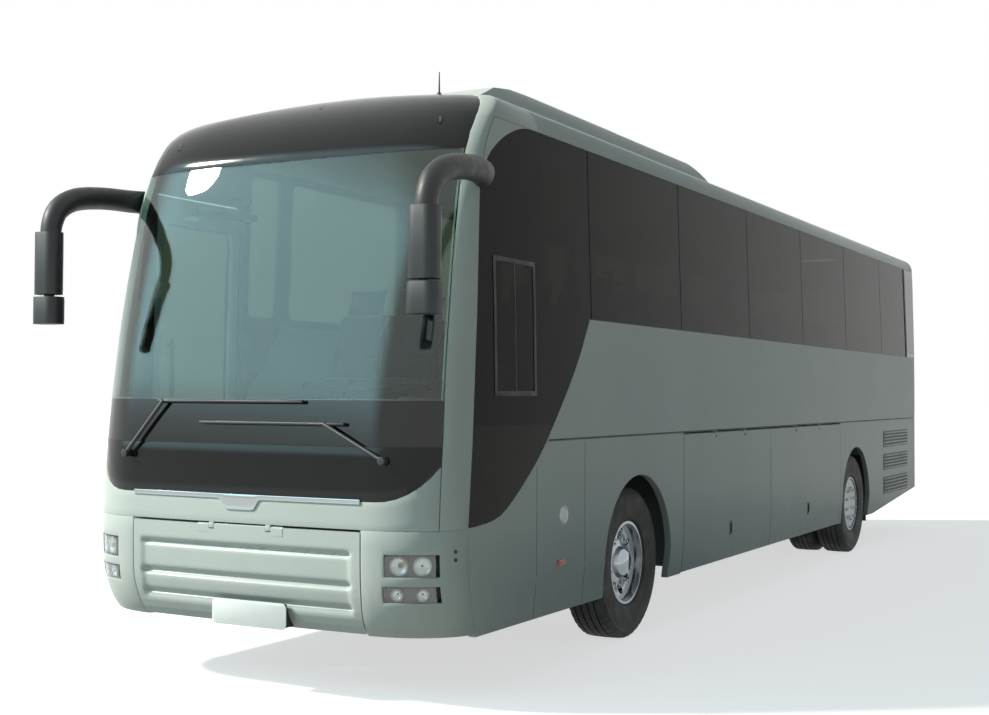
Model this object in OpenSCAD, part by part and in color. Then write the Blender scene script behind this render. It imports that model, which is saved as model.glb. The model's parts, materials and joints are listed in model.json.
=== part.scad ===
// Twelve metre touring coach, forward +X, left +Y, up +Z, wheels on z = 0.
// Lengths along the coach are measured from the front axle and moved to the frame at the end.

/* [Body] */
// distance between the axles
wheelbase = 6060; // [5400:10:6900]
// nose ahead of the front axle
front_overhang = 2760; // [2500:10:2900]
// tail behind the rear axle
rear_overhang = 3160; // [2800:10:3400]
// widest part of the body sides
body_w = 2550; // [2480:10:2600]
// lower edge of the side skirts
sill_z = 355; // [300:5:420]
// rub rail, top of the luggage flaps
rub_z = 1405; // [1300:5:1500]
// lower edge of the side windows
win_lo = 2168; // [2050:2:2250]
// upper edge of the side windows
win_hi = 3267; // [3150:1:3320]
// crown of the roof
roof_z = 3540; // [3460:5:3620]
// radius of the roof edge
roof_r = 170; // [140:5:220]
// thickness of a body wall
wall_t = 60; // [45:1:80]
// thickness of a skin moulding at the nose
skin_t = 40; // [25:1:60]
// thickness of a window pane
glass_t = 10; // [6:1:16]
// gap between fixed panels
seam = 0.4; // [0.3:0.1:0.45]
// gap round a moving panel
gap = 8; // [7:0.5:10]

/* [Nose] */
// radius of the windscreen in the side view
screen_r = 5700; // [5000:50:7000]
// height where the nose is furthest forward
nose_z = 900; // [800:10:1000]
// top of the windscreen
screen_hi = 3060; // [2950:10:3120]
// bottom of the windscreen
screen_lo = 1400; // [1350:5:1450]
// bottom of the black service panel
panel_lo = 1107; // [1050:1:1150]
// seam above the bumper
mask_lo = 957; // [920:1:1000]
// radius of the header over the windscreen
header_r = 780; // [740:5:820]
// rear edge of the black header
header_x = 1880; // [1800:10:1950]
// seam between the nose moulding and the roof
cap_x = 1480; // [1400:10:1560]
// lateral length of the rounded corner
corner_b = 450; // [380:10:600]
// how much the nose bows forward in plan
bow = 50; // [30:5:80]
// half width of the front service flap
flap_half = 800; // [700:10:840]

/* [Wheels] */
// outer radius of a tyre
tyre_r = 522; // [500:1:540]
// width of a tyre
tyre_w = 290; // [270:5:315]
// radius of the rim seat
rim_r = 286; // [270:1:300]
// front tyre centre from the middle
front_y = 1060; // [1030:5:1090]
// steering pivot from the middle
king_y = 880; // [840:5:900]
// outer rear tyre centre from the middle
rear_out_y = 1090; // [1060:5:1110]
// spacing of the twin tyres
twin_gap = 335; // [325:5:360]
// radius of the wheel arches in the skirts
arch_r = 590; // [560:5:620]
// radius of a spindle
spindle_r = 60; // [50:1:70]
// radius of a steering pivot pin
king_r = 25; // [20:1:30]
// running clearance of pins and spindles on the radius
run = 0.06; // [0.03:0.01:0.09]

/* [Doors and flaps] */
// thickness of a luggage flap
flap_t = 36; // [30:1:45]
// radius of a hinge pin
pin_r = 8; // [6:0.5:10]
// front door, rear edge
door1_x0 = 1300; // [1250:10:1340]
// front door, front edge
door1_x1 = 2140; // [2080:10:2180]
// middle door, rear edge
door2_x0 = -4950; // [-5000:10:-4900]
// middle door, front edge
door2_x1 = -4150; // [-4250:10:-4100]
// top of the doors
door_hi = 2960; // [2850:10:3050]
// thickness of a door leaf
leaf_t = 45; // [40:1:55]
// reach of a door arm
arm_len = 500; // [460:10:540]

/* [Inside] */
// top of the passenger floor
deck_z = 1360; // [1300:10:1400]
// thickness of the floors
deck_t = 60; // [40:5:80]
// top of the driver's floor
cab_z = 950; // [900:10:1000]
// pitch of the seat rows
seat_pitch = 800; // [760:10:860]

/* [Hidden] */
$fn = 48;
half_w = body_w / 2;
tail_x = -wheelbase - rear_overhang;
mirror_x = 3000;
front_axle_x = (-tail_x - mirror_x) / 2;
axle_z = tyre_r;
rear_x = -wheelbase;
hold_x0 = rear_x + 720;
hold_x1 = -840;
hold_z = sill_z + 45;
roll_r = flap_t / 2;
flap_hi = rub_z - gap;
// body side outline: height, half width
side_table = [[sill_z, half_w - 24], [600, half_w], [rub_z, half_w], [win_lo, half_w - 13],
              [win_hi, half_w - 50]];
edge_w = half_w - 50 - roof_r;
crown_w = edge_w + roof_r * cos(80);
crown_z = win_hi + roof_r * sin(80);
crown_k = (roof_z - crown_z) / (crown_w * crown_w);
// front corner of the dark glazing on the side: x, z
swoosh = [[2330, 964], [2034, 1004], [1727, 1185], [1450, 1410], [1043, 1838], [810, win_lo]];
// side panes from the front: front edge, rear edge
panes = [[1500, 790], [780, -830], [-840, -2450], [-2460, -4070], [-4080, -5690], [-5700, -7310],
         [-7320, -8600]];
// driver's window: rear, front, bottom, top
drv = [1600, 2090, 1690, 2455];
// luggage flaps: rear edge, front edge
flaps_left = [[-3000, -850], [-5380, -3000]];
flaps_right = [[-2450, -850], [-4050, -2450]];
// lamps on one side: inner edge, outer edge, bottom, top
lamps = [[half_w - 335, half_w - 75, 712, 832], [half_w - 345, half_w - 75, 575, 662]];
// rear engine lid: half width, bottom, top
lid = [760, 700, 1900];
// rear window: half width, bottom, top
back_win = [950, 2230, 3080];

function roof_w(z) = z <= crown_z ? edge_w + sqrt(max(0, roof_r * roof_r - pow(z - win_hi, 2)))
                   : sqrt(max(0, (roof_z - z) / crown_k));
function wide(z) = z <= win_hi ? lookup(z, side_table) : roof_w(z);

// nose in the side view
screen_c = front_overhang - screen_r;
function screen_x(z) = screen_c + sqrt(screen_r * screen_r - pow(z - nose_z, 2));
head_a = asin((screen_hi - nose_z) / screen_r);
head_cx = screen_x(screen_hi) - header_r * cos(head_a);
head_cz = screen_hi - header_r * sin(head_a);
tuck_z = 680;
tuck_d = 150;
nose_lo = sill_z + 20;
function tuck(z) = z >= tuck_z ? 0 : tuck_d * (1 - sqrt(1 - 0.98 * pow((tuck_z - z) / (tuck_z - sill_z), 2)));
function nose(z) = z <= screen_hi ? screen_x(z) - tuck(z)
                 : head_cx + sqrt(max(1, header_r * header_r - pow(z - head_cz, 2)));
// where the side ends and the front corner begins: rear edge of the screen post, wrapped back towards the sill
post_x = 2390;
post_z = 1660;
post_rake = 0.092;
corner_min = 120;
wrap_z = 950;
wrap_d = 145;
function side_x(z) = min(post_x - post_rake * (max(z, wrap_z) - post_z), nose(z) - corner_min)
                     - wrap_d * pow(max(0, wrap_z - z) / (wrap_z - sill_z), 3);

// point on the nose: height, station u (0 centre, 1 corner start, 2 side), depth below the skin
function yc(z, d) = max(0.3 * (wide(z) - d), wide(z) - d - corner_b);
function nose_pt(z, u, d) =
  let (s = sign(u), v = abs(u), w = wide(z) - d, c = yc(z, d), a = nose(z) - d - side_x(z),
       y = v <= 1 ? v * c : c + (w - c) * sin((v - 1) * 90),
       x = v <= 1 ? side_x(z) + a : side_x(z) + a * cos((v - 1) * 90))
  [x - bow * pow(y / w, 2), s * y, z];
// station of a given lateral distance
function u_of(y, z) = let (c = yc(z, 0), w = wide(z)) abs(y) <= c ? y / c
                    : sign(y) * (1 + asin(min(1, (abs(y) - c) / (w - c))) / 90);
function face_x(y, z) = nose_pt(z, u_of(y, z), 0)[0];
u_post = 1.62;
post_gap = 0.01;

// height on the header where station u reaches a given x
function z_at(u, x, lo, hi, n) = n == 0 ? (lo + hi) / 2
  : let (m = (lo + hi) / 2) nose_pt(m, u, 0)[0] > x ? z_at(u, x, m, hi, n - 1) : z_at(u, x, lo, m, n - 1);

function grid(us, zs, d) = [for (z = zs) [for (u = us) nose_pt(z, u, d)]];
function span(a, b, n) = [for (i = [0:n]) a + (b - a) * i / n];
// heights that both sides of the corner seam share, and the seam's place at any height
bumper_zs = concat(span(nose_lo, 640, 6), span(700, mask_lo - seam, 3));
post_zs = concat(span(mask_lo + seam, screen_hi, 9), [(screen_hi + win_hi) / 2, win_hi]);
corner_zs = concat(bumper_zs, post_zs);
corner_table = [for (z = corner_zs) [z, side_x(z) - bow]];
function corner_x(z) = lookup(z, corner_table);
function corner_edge(lo, hi, back) = [for (i = [len(corner_zs) - 1:-1:0]) let (z = corner_zs[i])
                                      if (z > lo && z <= hi) [corner_x(z) - back, z]];
function flat2(g) = [for (r = g) for (p = r) p];
// smooth curve through a list of points, n steps between two of them
function knot(list, i) = list[max(0, min(len(list) - 1, i))];
function curve_at(list, i, t) =
  let (a = knot(list, i - 1), b = knot(list, i), c = knot(list, i + 1), d = knot(list, i + 2))
  0.5 * (2 * b + t * (c - a) + t * t * (2 * a - 5 * b + 4 * c - d) + t * t * t * (3 * b - a - 3 * c + d));
function curve(list, n) = concat([for (i = [0:len(list) - 2]) for (k = [0:n - 1]) curve_at(list, i, k / n)],
                                 [list[len(list) - 1]]);

// closed skin between an outer and an inner grid of points
module skin(outer, inner) {
  m = len(outer);
  n = len(outer[0]);
  k = m * n;
  f_out = [for (i = [0:m - 2]) for (j = [0:n - 2]) each
    [[i * n + j, (i + 1) * n + j, (i + 1) * n + j + 1], [i * n + j, (i + 1) * n + j + 1, i * n + j + 1]]];
  f_in = [for (f = f_out) [k + f[0], k + f[2], k + f[1]]];
  rim_a = concat([for (j = [0:n - 2]) [j, j + 1]],
                 [for (i = [0:m - 2]) [i * n + n - 1, (i + 1) * n + n - 1]]);
  rim_b = concat([for (j = [n - 2:-1:0]) [(m - 1) * n + j + 1, (m - 1) * n + j]],
                 [for (i = [m - 2:-1:0]) [(i + 1) * n, i * n]]);
  f_rim = concat([for (e = rim_a) each [[e[0], e[1], k + e[1]], [e[0], k + e[1], k + e[0]]]],
                 [for (e = rim_b) each [[e[0], e[1], k + e[0]], [e[1], k + e[1], k + e[0]]]]);
  polyhedron(concat(flat2(outer), flat2(inner)), concat(f_out, f_in, f_rim));
}
module nose_skin(us, zs, t, d = 0) {
  skin(grid(us, zs, d), grid(us, zs, d + t));
}

// shapes drawn in the side view or in cross section
module along_x(x0, x1) {
  translate([x0, 0, 0]) rotate([90, 0, 90]) linear_extrude(x1 - x0) children();
}
module along_y(y0, y1) {
  translate([0, y1, 0]) rotate([90, 0, 0]) linear_extrude(y1 - y0) children();
}
// slab through the left body side
module along_side() {
  along_y(half_w - 375, half_w + 125) children();
}
module rrect(x0, x1, z0, z1, r) {
  translate([x0 + r, z0]) square([x1 - x0 - 2 * r, z1 - z0]);
  translate([x0, z0 + r]) square([x1 - x0, z1 - z0 - 2 * r]);
  for (x = [x0 + r, x1 - r])
    for (z = [z0 + r, z1 - r])
      translate([x, z]) circle(r);
}
module rod(p, q, r) {
  v = q - p;
  l = norm(v);
  translate(p) rotate([0, acos(v[2] / l), atan2(v[1], v[0])]) cylinder(h = l, r = r);
}
module block(x, y, z) {
  translate([x[0], y[0], z[0]]) cube([x[1] - x[0], y[1] - y[0], z[1] - z[0]]);
}
module both() {
  children();
  mirror([0, 1, 0]) children();
}

// body cross section, moved in by d
function half_section(d) = concat([[0, sill_z]], [for (r = side_table) [r[1] - d, r[0]]],
  [for (a = [8:8:80]) [edge_w + (roof_r - d) * cos(a), win_hi + (roof_r - d) * sin(a)]],
  [for (i = [1:9]) let (y = crown_w * (1 - i / 9)) [y, roof_z - d - crown_k * y * y]]);
module half_wall(d0, d1, z0, z1) {
  intersection() {
    difference() {
      polygon(half_section(d0));
      polygon(half_section(d1));
    }
    translate([0.1, z0]) square([half_w, z1 - z0]);
  }
}
function full_section(d) = let (h = half_section(d), n = len(h))
  concat([for (i = [1:n - 1]) h[i]], [for (i = [n - 2:-1:1]) [-h[i][0], h[i][1]]]);
module section_ring(z0, z1) {
  intersection() {
    difference() {
      polygon(full_section(0));
      union() {
        polygon(full_section(wall_t));
        translate([-half_w + wall_t + 24, 0]) square([2 * half_w - 2 * wall_t - 48, 2 * wall_t + sill_z]);
      }
    }
    translate([-half_w, z0]) square([2 * half_w, z1 - z0]);
  }
}

// arches through the skirts
module arches() {
  for (x = [0, rear_x])
    translate([x, 0, axle_z + 20]) {
      rotate([90, 0, 0]) cylinder(h = 4 * half_w, r = arch_r, center = true);
      block([-arch_r + 15, arch_r - 15], [-2 * half_w, 2 * half_w], [-axle_z - 50, 0]);
    }
}

// sill that rises behind the rear wheels
tail_up = 190;
module tail_rise() {
  along_y(-2 * half_w, 2 * half_w) polygon([[rear_x - arch_r + 15, 0], [rear_x - arch_r + 15, sill_z - 20],
                                            [tail_x - 10, sill_z + tail_up], [tail_x - 10, 0]]);
}

// one side of the body as a slab, upper window band set back for the panes
tail_in = tail_x + 250;
glaze_x0 = tail_x + 570;
module painted_side() {
  along_x(tail_in + seam, 2400) half_wall(0, wall_t, rub_z, win_lo - seam);
  along_x(tail_in + seam, glaze_x0 - seam) half_wall(0, wall_t, win_lo - wall_t, win_hi);
}
module dark_side() {
  along_x(tail_in + seam, 2400) half_wall(glass_t, wall_t, 900, win_hi);
}
far_back = tail_x - 280;
far_front = front_overhang;
module swoosh_area() {
  polygon(concat([[far_back, 0], [far_front, 0], [far_front, swoosh[0][1] - 4]], curve(swoosh, 4),
                 [[800, 4000], [far_back, 4000]]));
}
// dark area ahead of and above the swoosh, up to the screen post
glaze_lo = swoosh[0][1];
module glaze_area() {
  difference() {
    polygon(concat([[glaze_x0, win_lo], [glaze_x0, win_hi]],
                   corner_edge(glaze_lo, win_hi, 4), [[corner_x(glaze_lo) - 4, glaze_lo], [700, glaze_lo]]));
    polygon(concat([[far_back, 0], [swoosh[0][0], 0]], curve(swoosh, 4), [[far_back, win_lo]]));
  }
}
module pane_cuts(inset, x_max) {
  for (p = panes)
    if (p[0] < x_max)
      rrect(p[1] + inset, p[0] - inset, win_lo + inset, win_hi - inset, 60);
}
module door_area(x0, x1, m) {
  translate([x0 - m, 0]) square([x1 - x0 + 2 * m, door_hi + m]);
}
function at_flap(i, n, f) = f[0] + (f[1] - f[0]) * i / (n + 1);
hinge_n = 2;
lug_w = 26;
hinge_y = half_w - roll_r;
hinge_z = flap_hi - roll_r;

// tongues that hang from the side panel and carry the luggage flaps
module flap_tongues(list) {
  for (f = list)
    for (i = [1:hinge_n])
      translate([at_flap(i, hinge_n, f) - lug_w / 2, 0, 0]) difference() {
        along_x(0, lug_w) {
          translate([hinge_y, hinge_z]) circle(roll_r - 2);
          translate([hinge_y - roll_r + 2, hinge_z]) square([2 * roll_r - 4, rub_z + 5 - hinge_z]);
        }
        along_x(-1, lug_w + 1) translate([hinge_y, hinge_z]) circle(pin_r + run);
      }
}
module side_panel_left() {
  color("#d9dcd6") {
    intersection() {
      painted_side();
      along_side() swoosh_area();
    }
    flap_tongues(flaps_left);
  }
}
module side_panel_right() {
  color("#d9dcd6") mirror([0, 1, 0]) {
    difference() {
      intersection() {
        painted_side();
        along_side() swoosh_area();
      }
      along_side() door_area(door1_x0, door1_x1, gap);
      along_side() door_area(door2_x0, door2_x1, gap);
    }
    flap_tongues(flaps_right);
  }
}
module frame_side(x_max) {
  difference() {
    intersection() {
      dark_side();
      along_side() glaze_area();
    }
    along_side() pane_cuts(55, x_max);
  }
}
module window_frame_left() {
  color("#1b1d1f") difference() {
    frame_side(2000);
    along_side() rrect(drv[0], drv[1], drv[2], drv[3], 50);
  }
}
module window_frame_right() {
  color("#1b1d1f") mirror([0, 1, 0]) difference() {
    frame_side(1000);
    along_side() rrect(845, 1200, win_lo + 55, win_hi - 55, 60);
    along_side() door_area(door1_x0, door1_x1, gap);
    along_side() door_area(door2_x0, door2_x1, gap);
  }
}
module pane_band() {
  along_x(glaze_x0, 2400) half_wall(0, glass_t - 0.3, 900, win_hi);
}
module glass_left() {
  color("#20262a", 0.6) intersection() {
    pane_band();
    along_side() union() {
      for (p = panes)
        if (p[0] < 1000)
          translate([p[1], win_lo + 1]) square([p[0] - p[1], win_hi - win_lo - 2]);
      intersection() {
        glaze_area();
        translate([790, 0]) square([3000, win_hi - 1]);
      }
    }
  }
}
module glass_right() {
  color("#20262a", 0.6) mirror([0, 1, 0]) difference() {
    intersection() {
      pane_band();
      along_side() union() {
        for (p = panes)
          if (p[0] < 1000)
            translate([p[1], win_lo + 1]) square([p[0] - p[1], win_hi - win_lo - 2]);
        intersection() {
          glaze_area();
          translate([790, 0]) square([3000, win_hi - 1]);
        }
      }
    }
    along_side() door_area(door1_x0, door1_x1, gap);
    along_side() door_area(door2_x0, door2_x1, gap);
  }
}

// skirts below the rub rail
module skirt_slab() {
  intersection() {
    along_x(tail_in + seam, far_front) half_wall(0, skirt_t, sill_z, rub_z - seam);
    along_side()
      polygon(concat([[far_back, 0], [far_back, rub_z], [corner_x(rub_z) - 3, rub_z]],
                     corner_edge(0, rub_z, 3), [[corner_x(0) - 3, 0]]));
  }
}
module skirt_side(list) {
  difference() {
    intersection() {
      skirt_slab();
      along_side() swoosh_area();
    }
    arches();
    tail_rise();
    for (f = list)
      along_side() translate([f[0] - gap / 2, 0]) square([f[1] - f[0] + gap, 2000]);
  }
}
module skirt_left() {
  color("#d9dcd6") skirt_side(flaps_left);
}
module skirt_right() {
  color("#d9dcd6") mirror([0, 1, 0]) difference() {
    skirt_side(flaps_right);
    along_side() door_area(door1_x0, door1_x1, gap);
    along_side() door_area(door2_x0, door2_x1, gap);
  }
}

// luggage flap with a rolled top edge and the pins that turn in the tongues
module luggage_flap(f) {
  x0 = f[0] + gap / 2;
  x1 = f[1] - gap / 2;
  difference() {
    union() {
      along_x(x0, x1) half_wall(0, flap_t, sill_z + 8, hinge_z);
      along_x(x0, x1) translate([hinge_y, hinge_z]) circle(roll_r);
    }
    for (i = [1:hinge_n])
      translate([at_flap(i, hinge_n, f) - lug_w / 2 - 6, 0, 0])
        along_x(0, lug_w + 12) translate([hinge_y - 60, hinge_z - roll_r - 8]) square([120, 100]);
  }
  for (i = [1:hinge_n])
    translate([at_flap(i, hinge_n, f) - lug_w / 2 - 6 - 10, 0, 0])
      along_x(0, lug_w + 32) translate([hinge_y, hinge_z]) circle(pin_r);
}
module luggage_flap_left_front() {
  color("#d4d8d2") luggage_flap(flaps_left[0]);
}
module luggage_flap_left_rear() {
  color("#d4d8d2") luggage_flap(flaps_left[1]);
}
module luggage_flap_right_front() {
  color("#d4d8d2") mirror([0, 1, 0]) luggage_flap(flaps_right[0]);
}
module luggage_flap_right_rear() {
  color("#d4d8d2") mirror([0, 1, 0]) luggage_flap(flaps_right[1]);
}

// roof from the nose seam to the tail
module roof() {
  color("#dfe2dc") along_x(tail_in + seam, cap_x - seam) section_ring(win_hi + seam, roof_z + 1);
}
// roof housing: half width, then its top line as x and height over the roof
unit_half = 720;
unit = [[-3100, 20], [-2500, 180], [-1000, 182], [-560, 208], [220, 206], [830, 172], [1110, 128], [1330, 30]];
module roof_unit() {
  color("#dfe2dc") intersection() {
    along_x(unit[0][0], unit[len(unit) - 1][0]) difference() {
      rrect(-unit_half, unit_half, roof_z - 200, roof_z + 208, 130);
      polygon(full_section(-seam));
    }
    along_y(-900, 900) polygon(concat([[unit[0][0], roof_z - 200]], [for (q = unit) [q[0], roof_z + q[1]]],
                                      [[unit[len(unit) - 1][0], roof_z - 200]]));
  }
}

// nose mouldings
module windscreen() {
  color("#20262a", 0.6)
    nose_skin(span(-u_post, u_post, 22), span(screen_lo + seam, screen_hi - seam, 12), glass_t + 2);
}
module front_header() {
  us = span(-u_post, u_post, 22);
  ts = [for (i = [0:10]) sin(i * 9)];
  tops = [for (u = us) z_at(u, header_x, screen_hi, roof_z - 2, 22)];
  function row(t) = [for (j = [0:len(us) - 1])
    nose_pt(screen_hi + seam + t * (tops[j] - screen_hi - 2 * seam), us[j], 0)];
  function inward(t) = [for (q = row(t))
    [q[0] - skin_t * sqrt(1 - t * t), q[1] * (1 - skin_t / 560), q[2] - skin_t * t]];
  color("#17191b") skin([for (t = ts) row(t)], [for (t = ts) inward(t)]);
}
// white screen posts that run up into the roof edge
post_z1 = z_at(u_post, header_x, screen_hi, roof_z - 2, 22);
module screen_post() {
  us = span(u_post + post_gap, 2, 5);
  edge_z = win_hi + 2 * seam;
  zs = concat(post_zs, [edge_z], [for (i = [1:6]) edge_z + (post_z1 - edge_z) * sin(i * 15)]);
  function row(z, d) = concat([for (u = us) nose_pt(z, u, d)],
    z > win_hi ? [[cap_x + 200, wide(z) - d, z], [cap_x, wide(z) - d, z]]
               : [[side_x(z) - bow - 1, wide(z) - d, z], [side_x(z) - bow - 2, wide(z) - d, z]]);
  skin([for (z = zs) row(z, 0)], [for (z = zs) row(z, skin_t)]);
}
// front end of the roof behind the header
module nose_roof() {
  us = span(-u_post, u_post, 18);
  xs = span(header_x - seam, cap_x, 5);
  function lvl(x) = let (e = nose_pt(post_z1, u_post, 0))
    wide(post_z1) - (wide(post_z1) - e[1]) * max(0, (x - cap_x) / (header_x - cap_x));
  function tz(x, y, lo, hi, n) = n == 0 ? (lo + hi) / 2 : let (m = (lo + hi) / 2)
    (wide(m) > abs(y) && face_x(y, m) > x) ? tz(x, y, m, hi, n - 1) : tz(x, y, lo, m, n - 1);
  function pt(x, u, d) = let (e = nose_pt(z_at(u, header_x, screen_hi, roof_z - 2, 22), u, 0),
    y = e[1] * lvl(x) / nose_pt(post_z1, u_post, 0)[1])
    [x, y * (1 - d / 2400), tz(x, y, win_hi, roof_z, 22) - d];
  skin([for (x = xs) [for (u = us) pt(x, u, 0)]], [for (x = xs) [for (u = us) pt(x, u, skin_t)]]);
}
module nose_cap() {
  color("#dfe2dc") {
    both() screen_post();
    nose_roof();
  }
}
module front_panel() {
  us = span(-u_post, u_post, 36);
  function low(u) = panel_lo + seam + 190 * pow(max(0, abs(u) - 1.1) / (u_post - 1.1), 2);
  function row(t, d) = [for (u = us) nose_pt(low(u) + t * (screen_lo - seam - low(u)), u, d)];
  ts = span(0, 1, 5);
  color("#17191b") skin([for (t = ts) row(t, 0)], [for (t = ts) row(t, skin_t)]);
}
module front_mask() {
  us = span(-u_post, u_post, 36);
  function top(u) = panel_lo + 190 * pow(max(0, abs(u) - 1.1) / (u_post - 1.1), 2);
  function row(t, d) = [for (u = us) nose_pt(mask_lo + seam + t * (top(u) - mask_lo - seam), u, d)];
  ts = span(0, 1, 4);
  color("#d9dcd6") {
    skin([for (t = ts) row(t, 0)], [for (t = ts) row(t, skin_t)]);
    for (y = nose_tongues)
      nose_tongue(y);
  }
}
// tongues that carry the front service flap
nose_roll_r = 12;
nose_pin_r = 5;
nose_hx = front_overhang - nose_roll_r - 1;
nose_tongues = [-200, 200];
nose_hz = mask_lo - gap - nose_roll_r;
module nose_tongue(y) {
  difference() {
    along_y(y - lug_w / 2, y + lug_w / 2) {
      translate([nose_hx, nose_hz]) circle(nose_roll_r - 2);
      translate([nose_hx - nose_roll_r + 2, nose_hz]) square([2 * nose_roll_r - 4, mask_lo + 20 - nose_hz]);
    }
    along_y(y - lug_w, y + lug_w) translate([nose_hx, nose_hz]) circle(nose_pin_r + run);
  }
}
module front_flap() {
  us = [for (y = span(-flap_half, flap_half, 18)) u_of(y, 700)];
  zs = concat(span(nose_lo + 10, 640, 6), span(700, nose_hz + 7, 3));
  color("#d4d8d2") {
    difference() {
      union() {
        nose_skin(us, zs, flap_t);
        along_y(-300, 300) {
          translate([nose_hx, nose_hz]) circle(nose_roll_r);
          translate([nose_hx - nose_roll_r, nose_hz - 40]) square([2 * nose_roll_r, 40]);
        }
      }
      for (y = nose_tongues)
        block([nose_hx - 60, nose_hx + 200], [y - lug_w / 2 - 6, y + lug_w / 2 + 6],
              [nose_hz - nose_roll_r - 8, nose_hz + 90]);
    }
    for (y = nose_tongues)
      along_y(y - lug_w / 2 - 16, y + lug_w / 2 + 16) translate([nose_hx, nose_hz]) circle(nose_pin_r);
  }
}
module bumper_corner() {
  us = concat([for (y = span(flap_half + gap, half_w - 75, 7)) u_of(y, 700)],
              span(u_of(half_w - 50, 700), 2, 5));
  difference() {
    nose_skin(us, bumper_zs, skin_t);
    for (l = lamps)
      block([2000, 3000], [l[0], l[1]], [l[2], l[3]]);
  }
}
module bumper() {
  color("#d9dcd6") both() bumper_corner();
}
module headlamps() {
  color("#c9ced2") both() for (l = lamps) {
    us = [for (y = span(l[0] + seam, l[1] - seam, 6)) u_of(y, 700)];
    intersection() {
      nose_skin(us, span(l[2] + seam, l[3] - seam, 3), skin_t - 6, 6);
      block([2000, 3000], [l[0] + seam, l[1] - seam], [l[2] + seam, l[3] - seam]);
    }
  }
}

// tail: ring of body section closed by a rear wall
module tail_shape() {
  intersection() {
    linear_extrude(4000) rrect(tail_x, tail_x + 2000, -half_w, half_w, 190);
    along_y(-2000, 2000) union() {
      rrect(tail_x, tail_x + 2000, sill_z, roof_z + 5, 230);
      translate([tail_x + 60, sill_z]) square([1800, 1000]);
      translate([tail_x, sill_z + 90]) square([1000, 600]);
    }
  }
}
lid_hx = tail_x + roll_r;
lid_hz = lid[2] - roll_r;
module rear_wall() {
  color("#d9dcd6") {
    difference() {
      intersection() {
        tail_shape();
        union() {
          along_x(tail_x, tail_in) section_ring(sill_z, roof_z + 5);
          along_x(tail_x, tail_x + wall_t) polygon(full_section(0));
        }
      }
      along_x(tail_x - 50, tail_x + 300) rrect(-back_win[0], back_win[0], back_win[1], back_win[2], 90);
      along_x(tail_x - 50, tail_x + 300)
        translate([-lid[0] - gap, lid[1] - gap]) square([2 * lid[0] + 2 * gap, lid[2] - lid[1] + 2 * gap]);
      both() along_x(tail_x - 50, tail_x + 40) rrect(900, 1080, 760, 1500, 40);
      tail_rise();
    }
    for (y = [-450, 0, 450])
      difference() {
        along_y(y - lug_w / 2, y + lug_w / 2) {
          translate([lid_hx, lid_hz]) circle(roll_r - 2);
          translate([lid_hx - roll_r + 2, lid_hz]) square([2 * roll_r - 4, lid[2] + gap + 20 - lid_hz]);
        }
        along_y(y - lug_w, y + lug_w) translate([lid_hx, lid_hz]) circle(pin_r + run);
      }
  }
}
module engine_lid() {
  color("#d4d8d2") {
    difference() {
      union() {
        block([tail_x, tail_x + flap_t], [-lid[0], lid[0]], [lid[1], lid_hz]);
        along_y(-lid[0], lid[0]) translate([lid_hx, lid_hz]) circle(roll_r);
      }
      for (y = [-450, 0, 450])
        block([tail_x - 50, tail_x + 150], [y - lug_w / 2 - 6, y + lug_w / 2 + 6],
              [lid_hz - roll_r - 8, lid_hz + 90]);
      for (i = [0:5])
        block([tail_x - 50, tail_x + 12], [-600, 600], [880 + i * 60, 910 + i * 60]);
    }
    for (y = [-450, 0, 450])
      along_y(y - lug_w / 2 - 16, y + lug_w / 2 + 16) translate([lid_hx, lid_hz]) circle(pin_r);
  }
}
module rear_window() {
  color("#20262a", 0.6) along_x(tail_x + 4, tail_x + 4 + glass_t)
    rrect(-back_win[0] + seam, back_win[0] - seam, back_win[1] + seam, back_win[2] - seam, 90 - seam);
}
module rear_lamps() {
  color("#8c1f1c") both() along_x(tail_x + 6, tail_x + 40 - seam)
    rrect(900 + seam, 1080 - seam, 760 + seam, 1500 - seam, 39);
}

// floors and underframe
skirt_t = wall_t - 10;
floor_w = half_w - skirt_t - seam;
seat_gap = 0.3;
step_z = sill_z + 50;
step_y = half_w - wall_t - 40;
well1_y = 560;
well2_y = 330;
module passenger_floor() {
  color("#5a5d60") {
    difference() {
      block([tail_in + seam, 1000], [-floor_w, floor_w], [deck_z - deck_t, deck_z]);
      block([door2_x0 - 20, door2_x1 + 20], [-2 * half_w, -well2_y], [0, 3000]);
    }
    block([tail_x + wall_t + seam, tail_in + 5], [-half_w + wall_t + 1, half_w - wall_t - 1],
          [deck_z - deck_t, deck_z]);
    difference() {
      block([760, 2180], [-floor_w, floor_w], [cab_z - deck_t, cab_z]);
      block([door1_x0 - 20, door1_x1 + 20], [-2 * half_w, -well1_y], [0, 3000]);
    }
    block([940, 1000], [-floor_w, floor_w], [cab_z - 5, deck_z - 5]);
  }
}
// steps behind a door: door edges, height of the floor, inner end of the well, number of treads
module stair(x0, x1, top, well_y, n) {
  rise = (top - step_z) / n;
  tread = (step_y - well_y) / n;
  for (k = [0:n - 1])
    block([x0 - 19, x1 + 19], [-step_y + k * tread, -well_y - seat_gap], [sill_z + 20, step_z + k * rise]);
  block([x0 - 19, x1 + 19], [-well_y - 30, -well_y - seat_gap], [sill_z + 20, top]);
}
module stairs() {
  color("#4a4d50") {
    stair(door1_x0, door1_x1, cab_z, well1_y, 3);
    stair(door2_x0, door2_x1, deck_z, well2_y, 4);
  }
}
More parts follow.
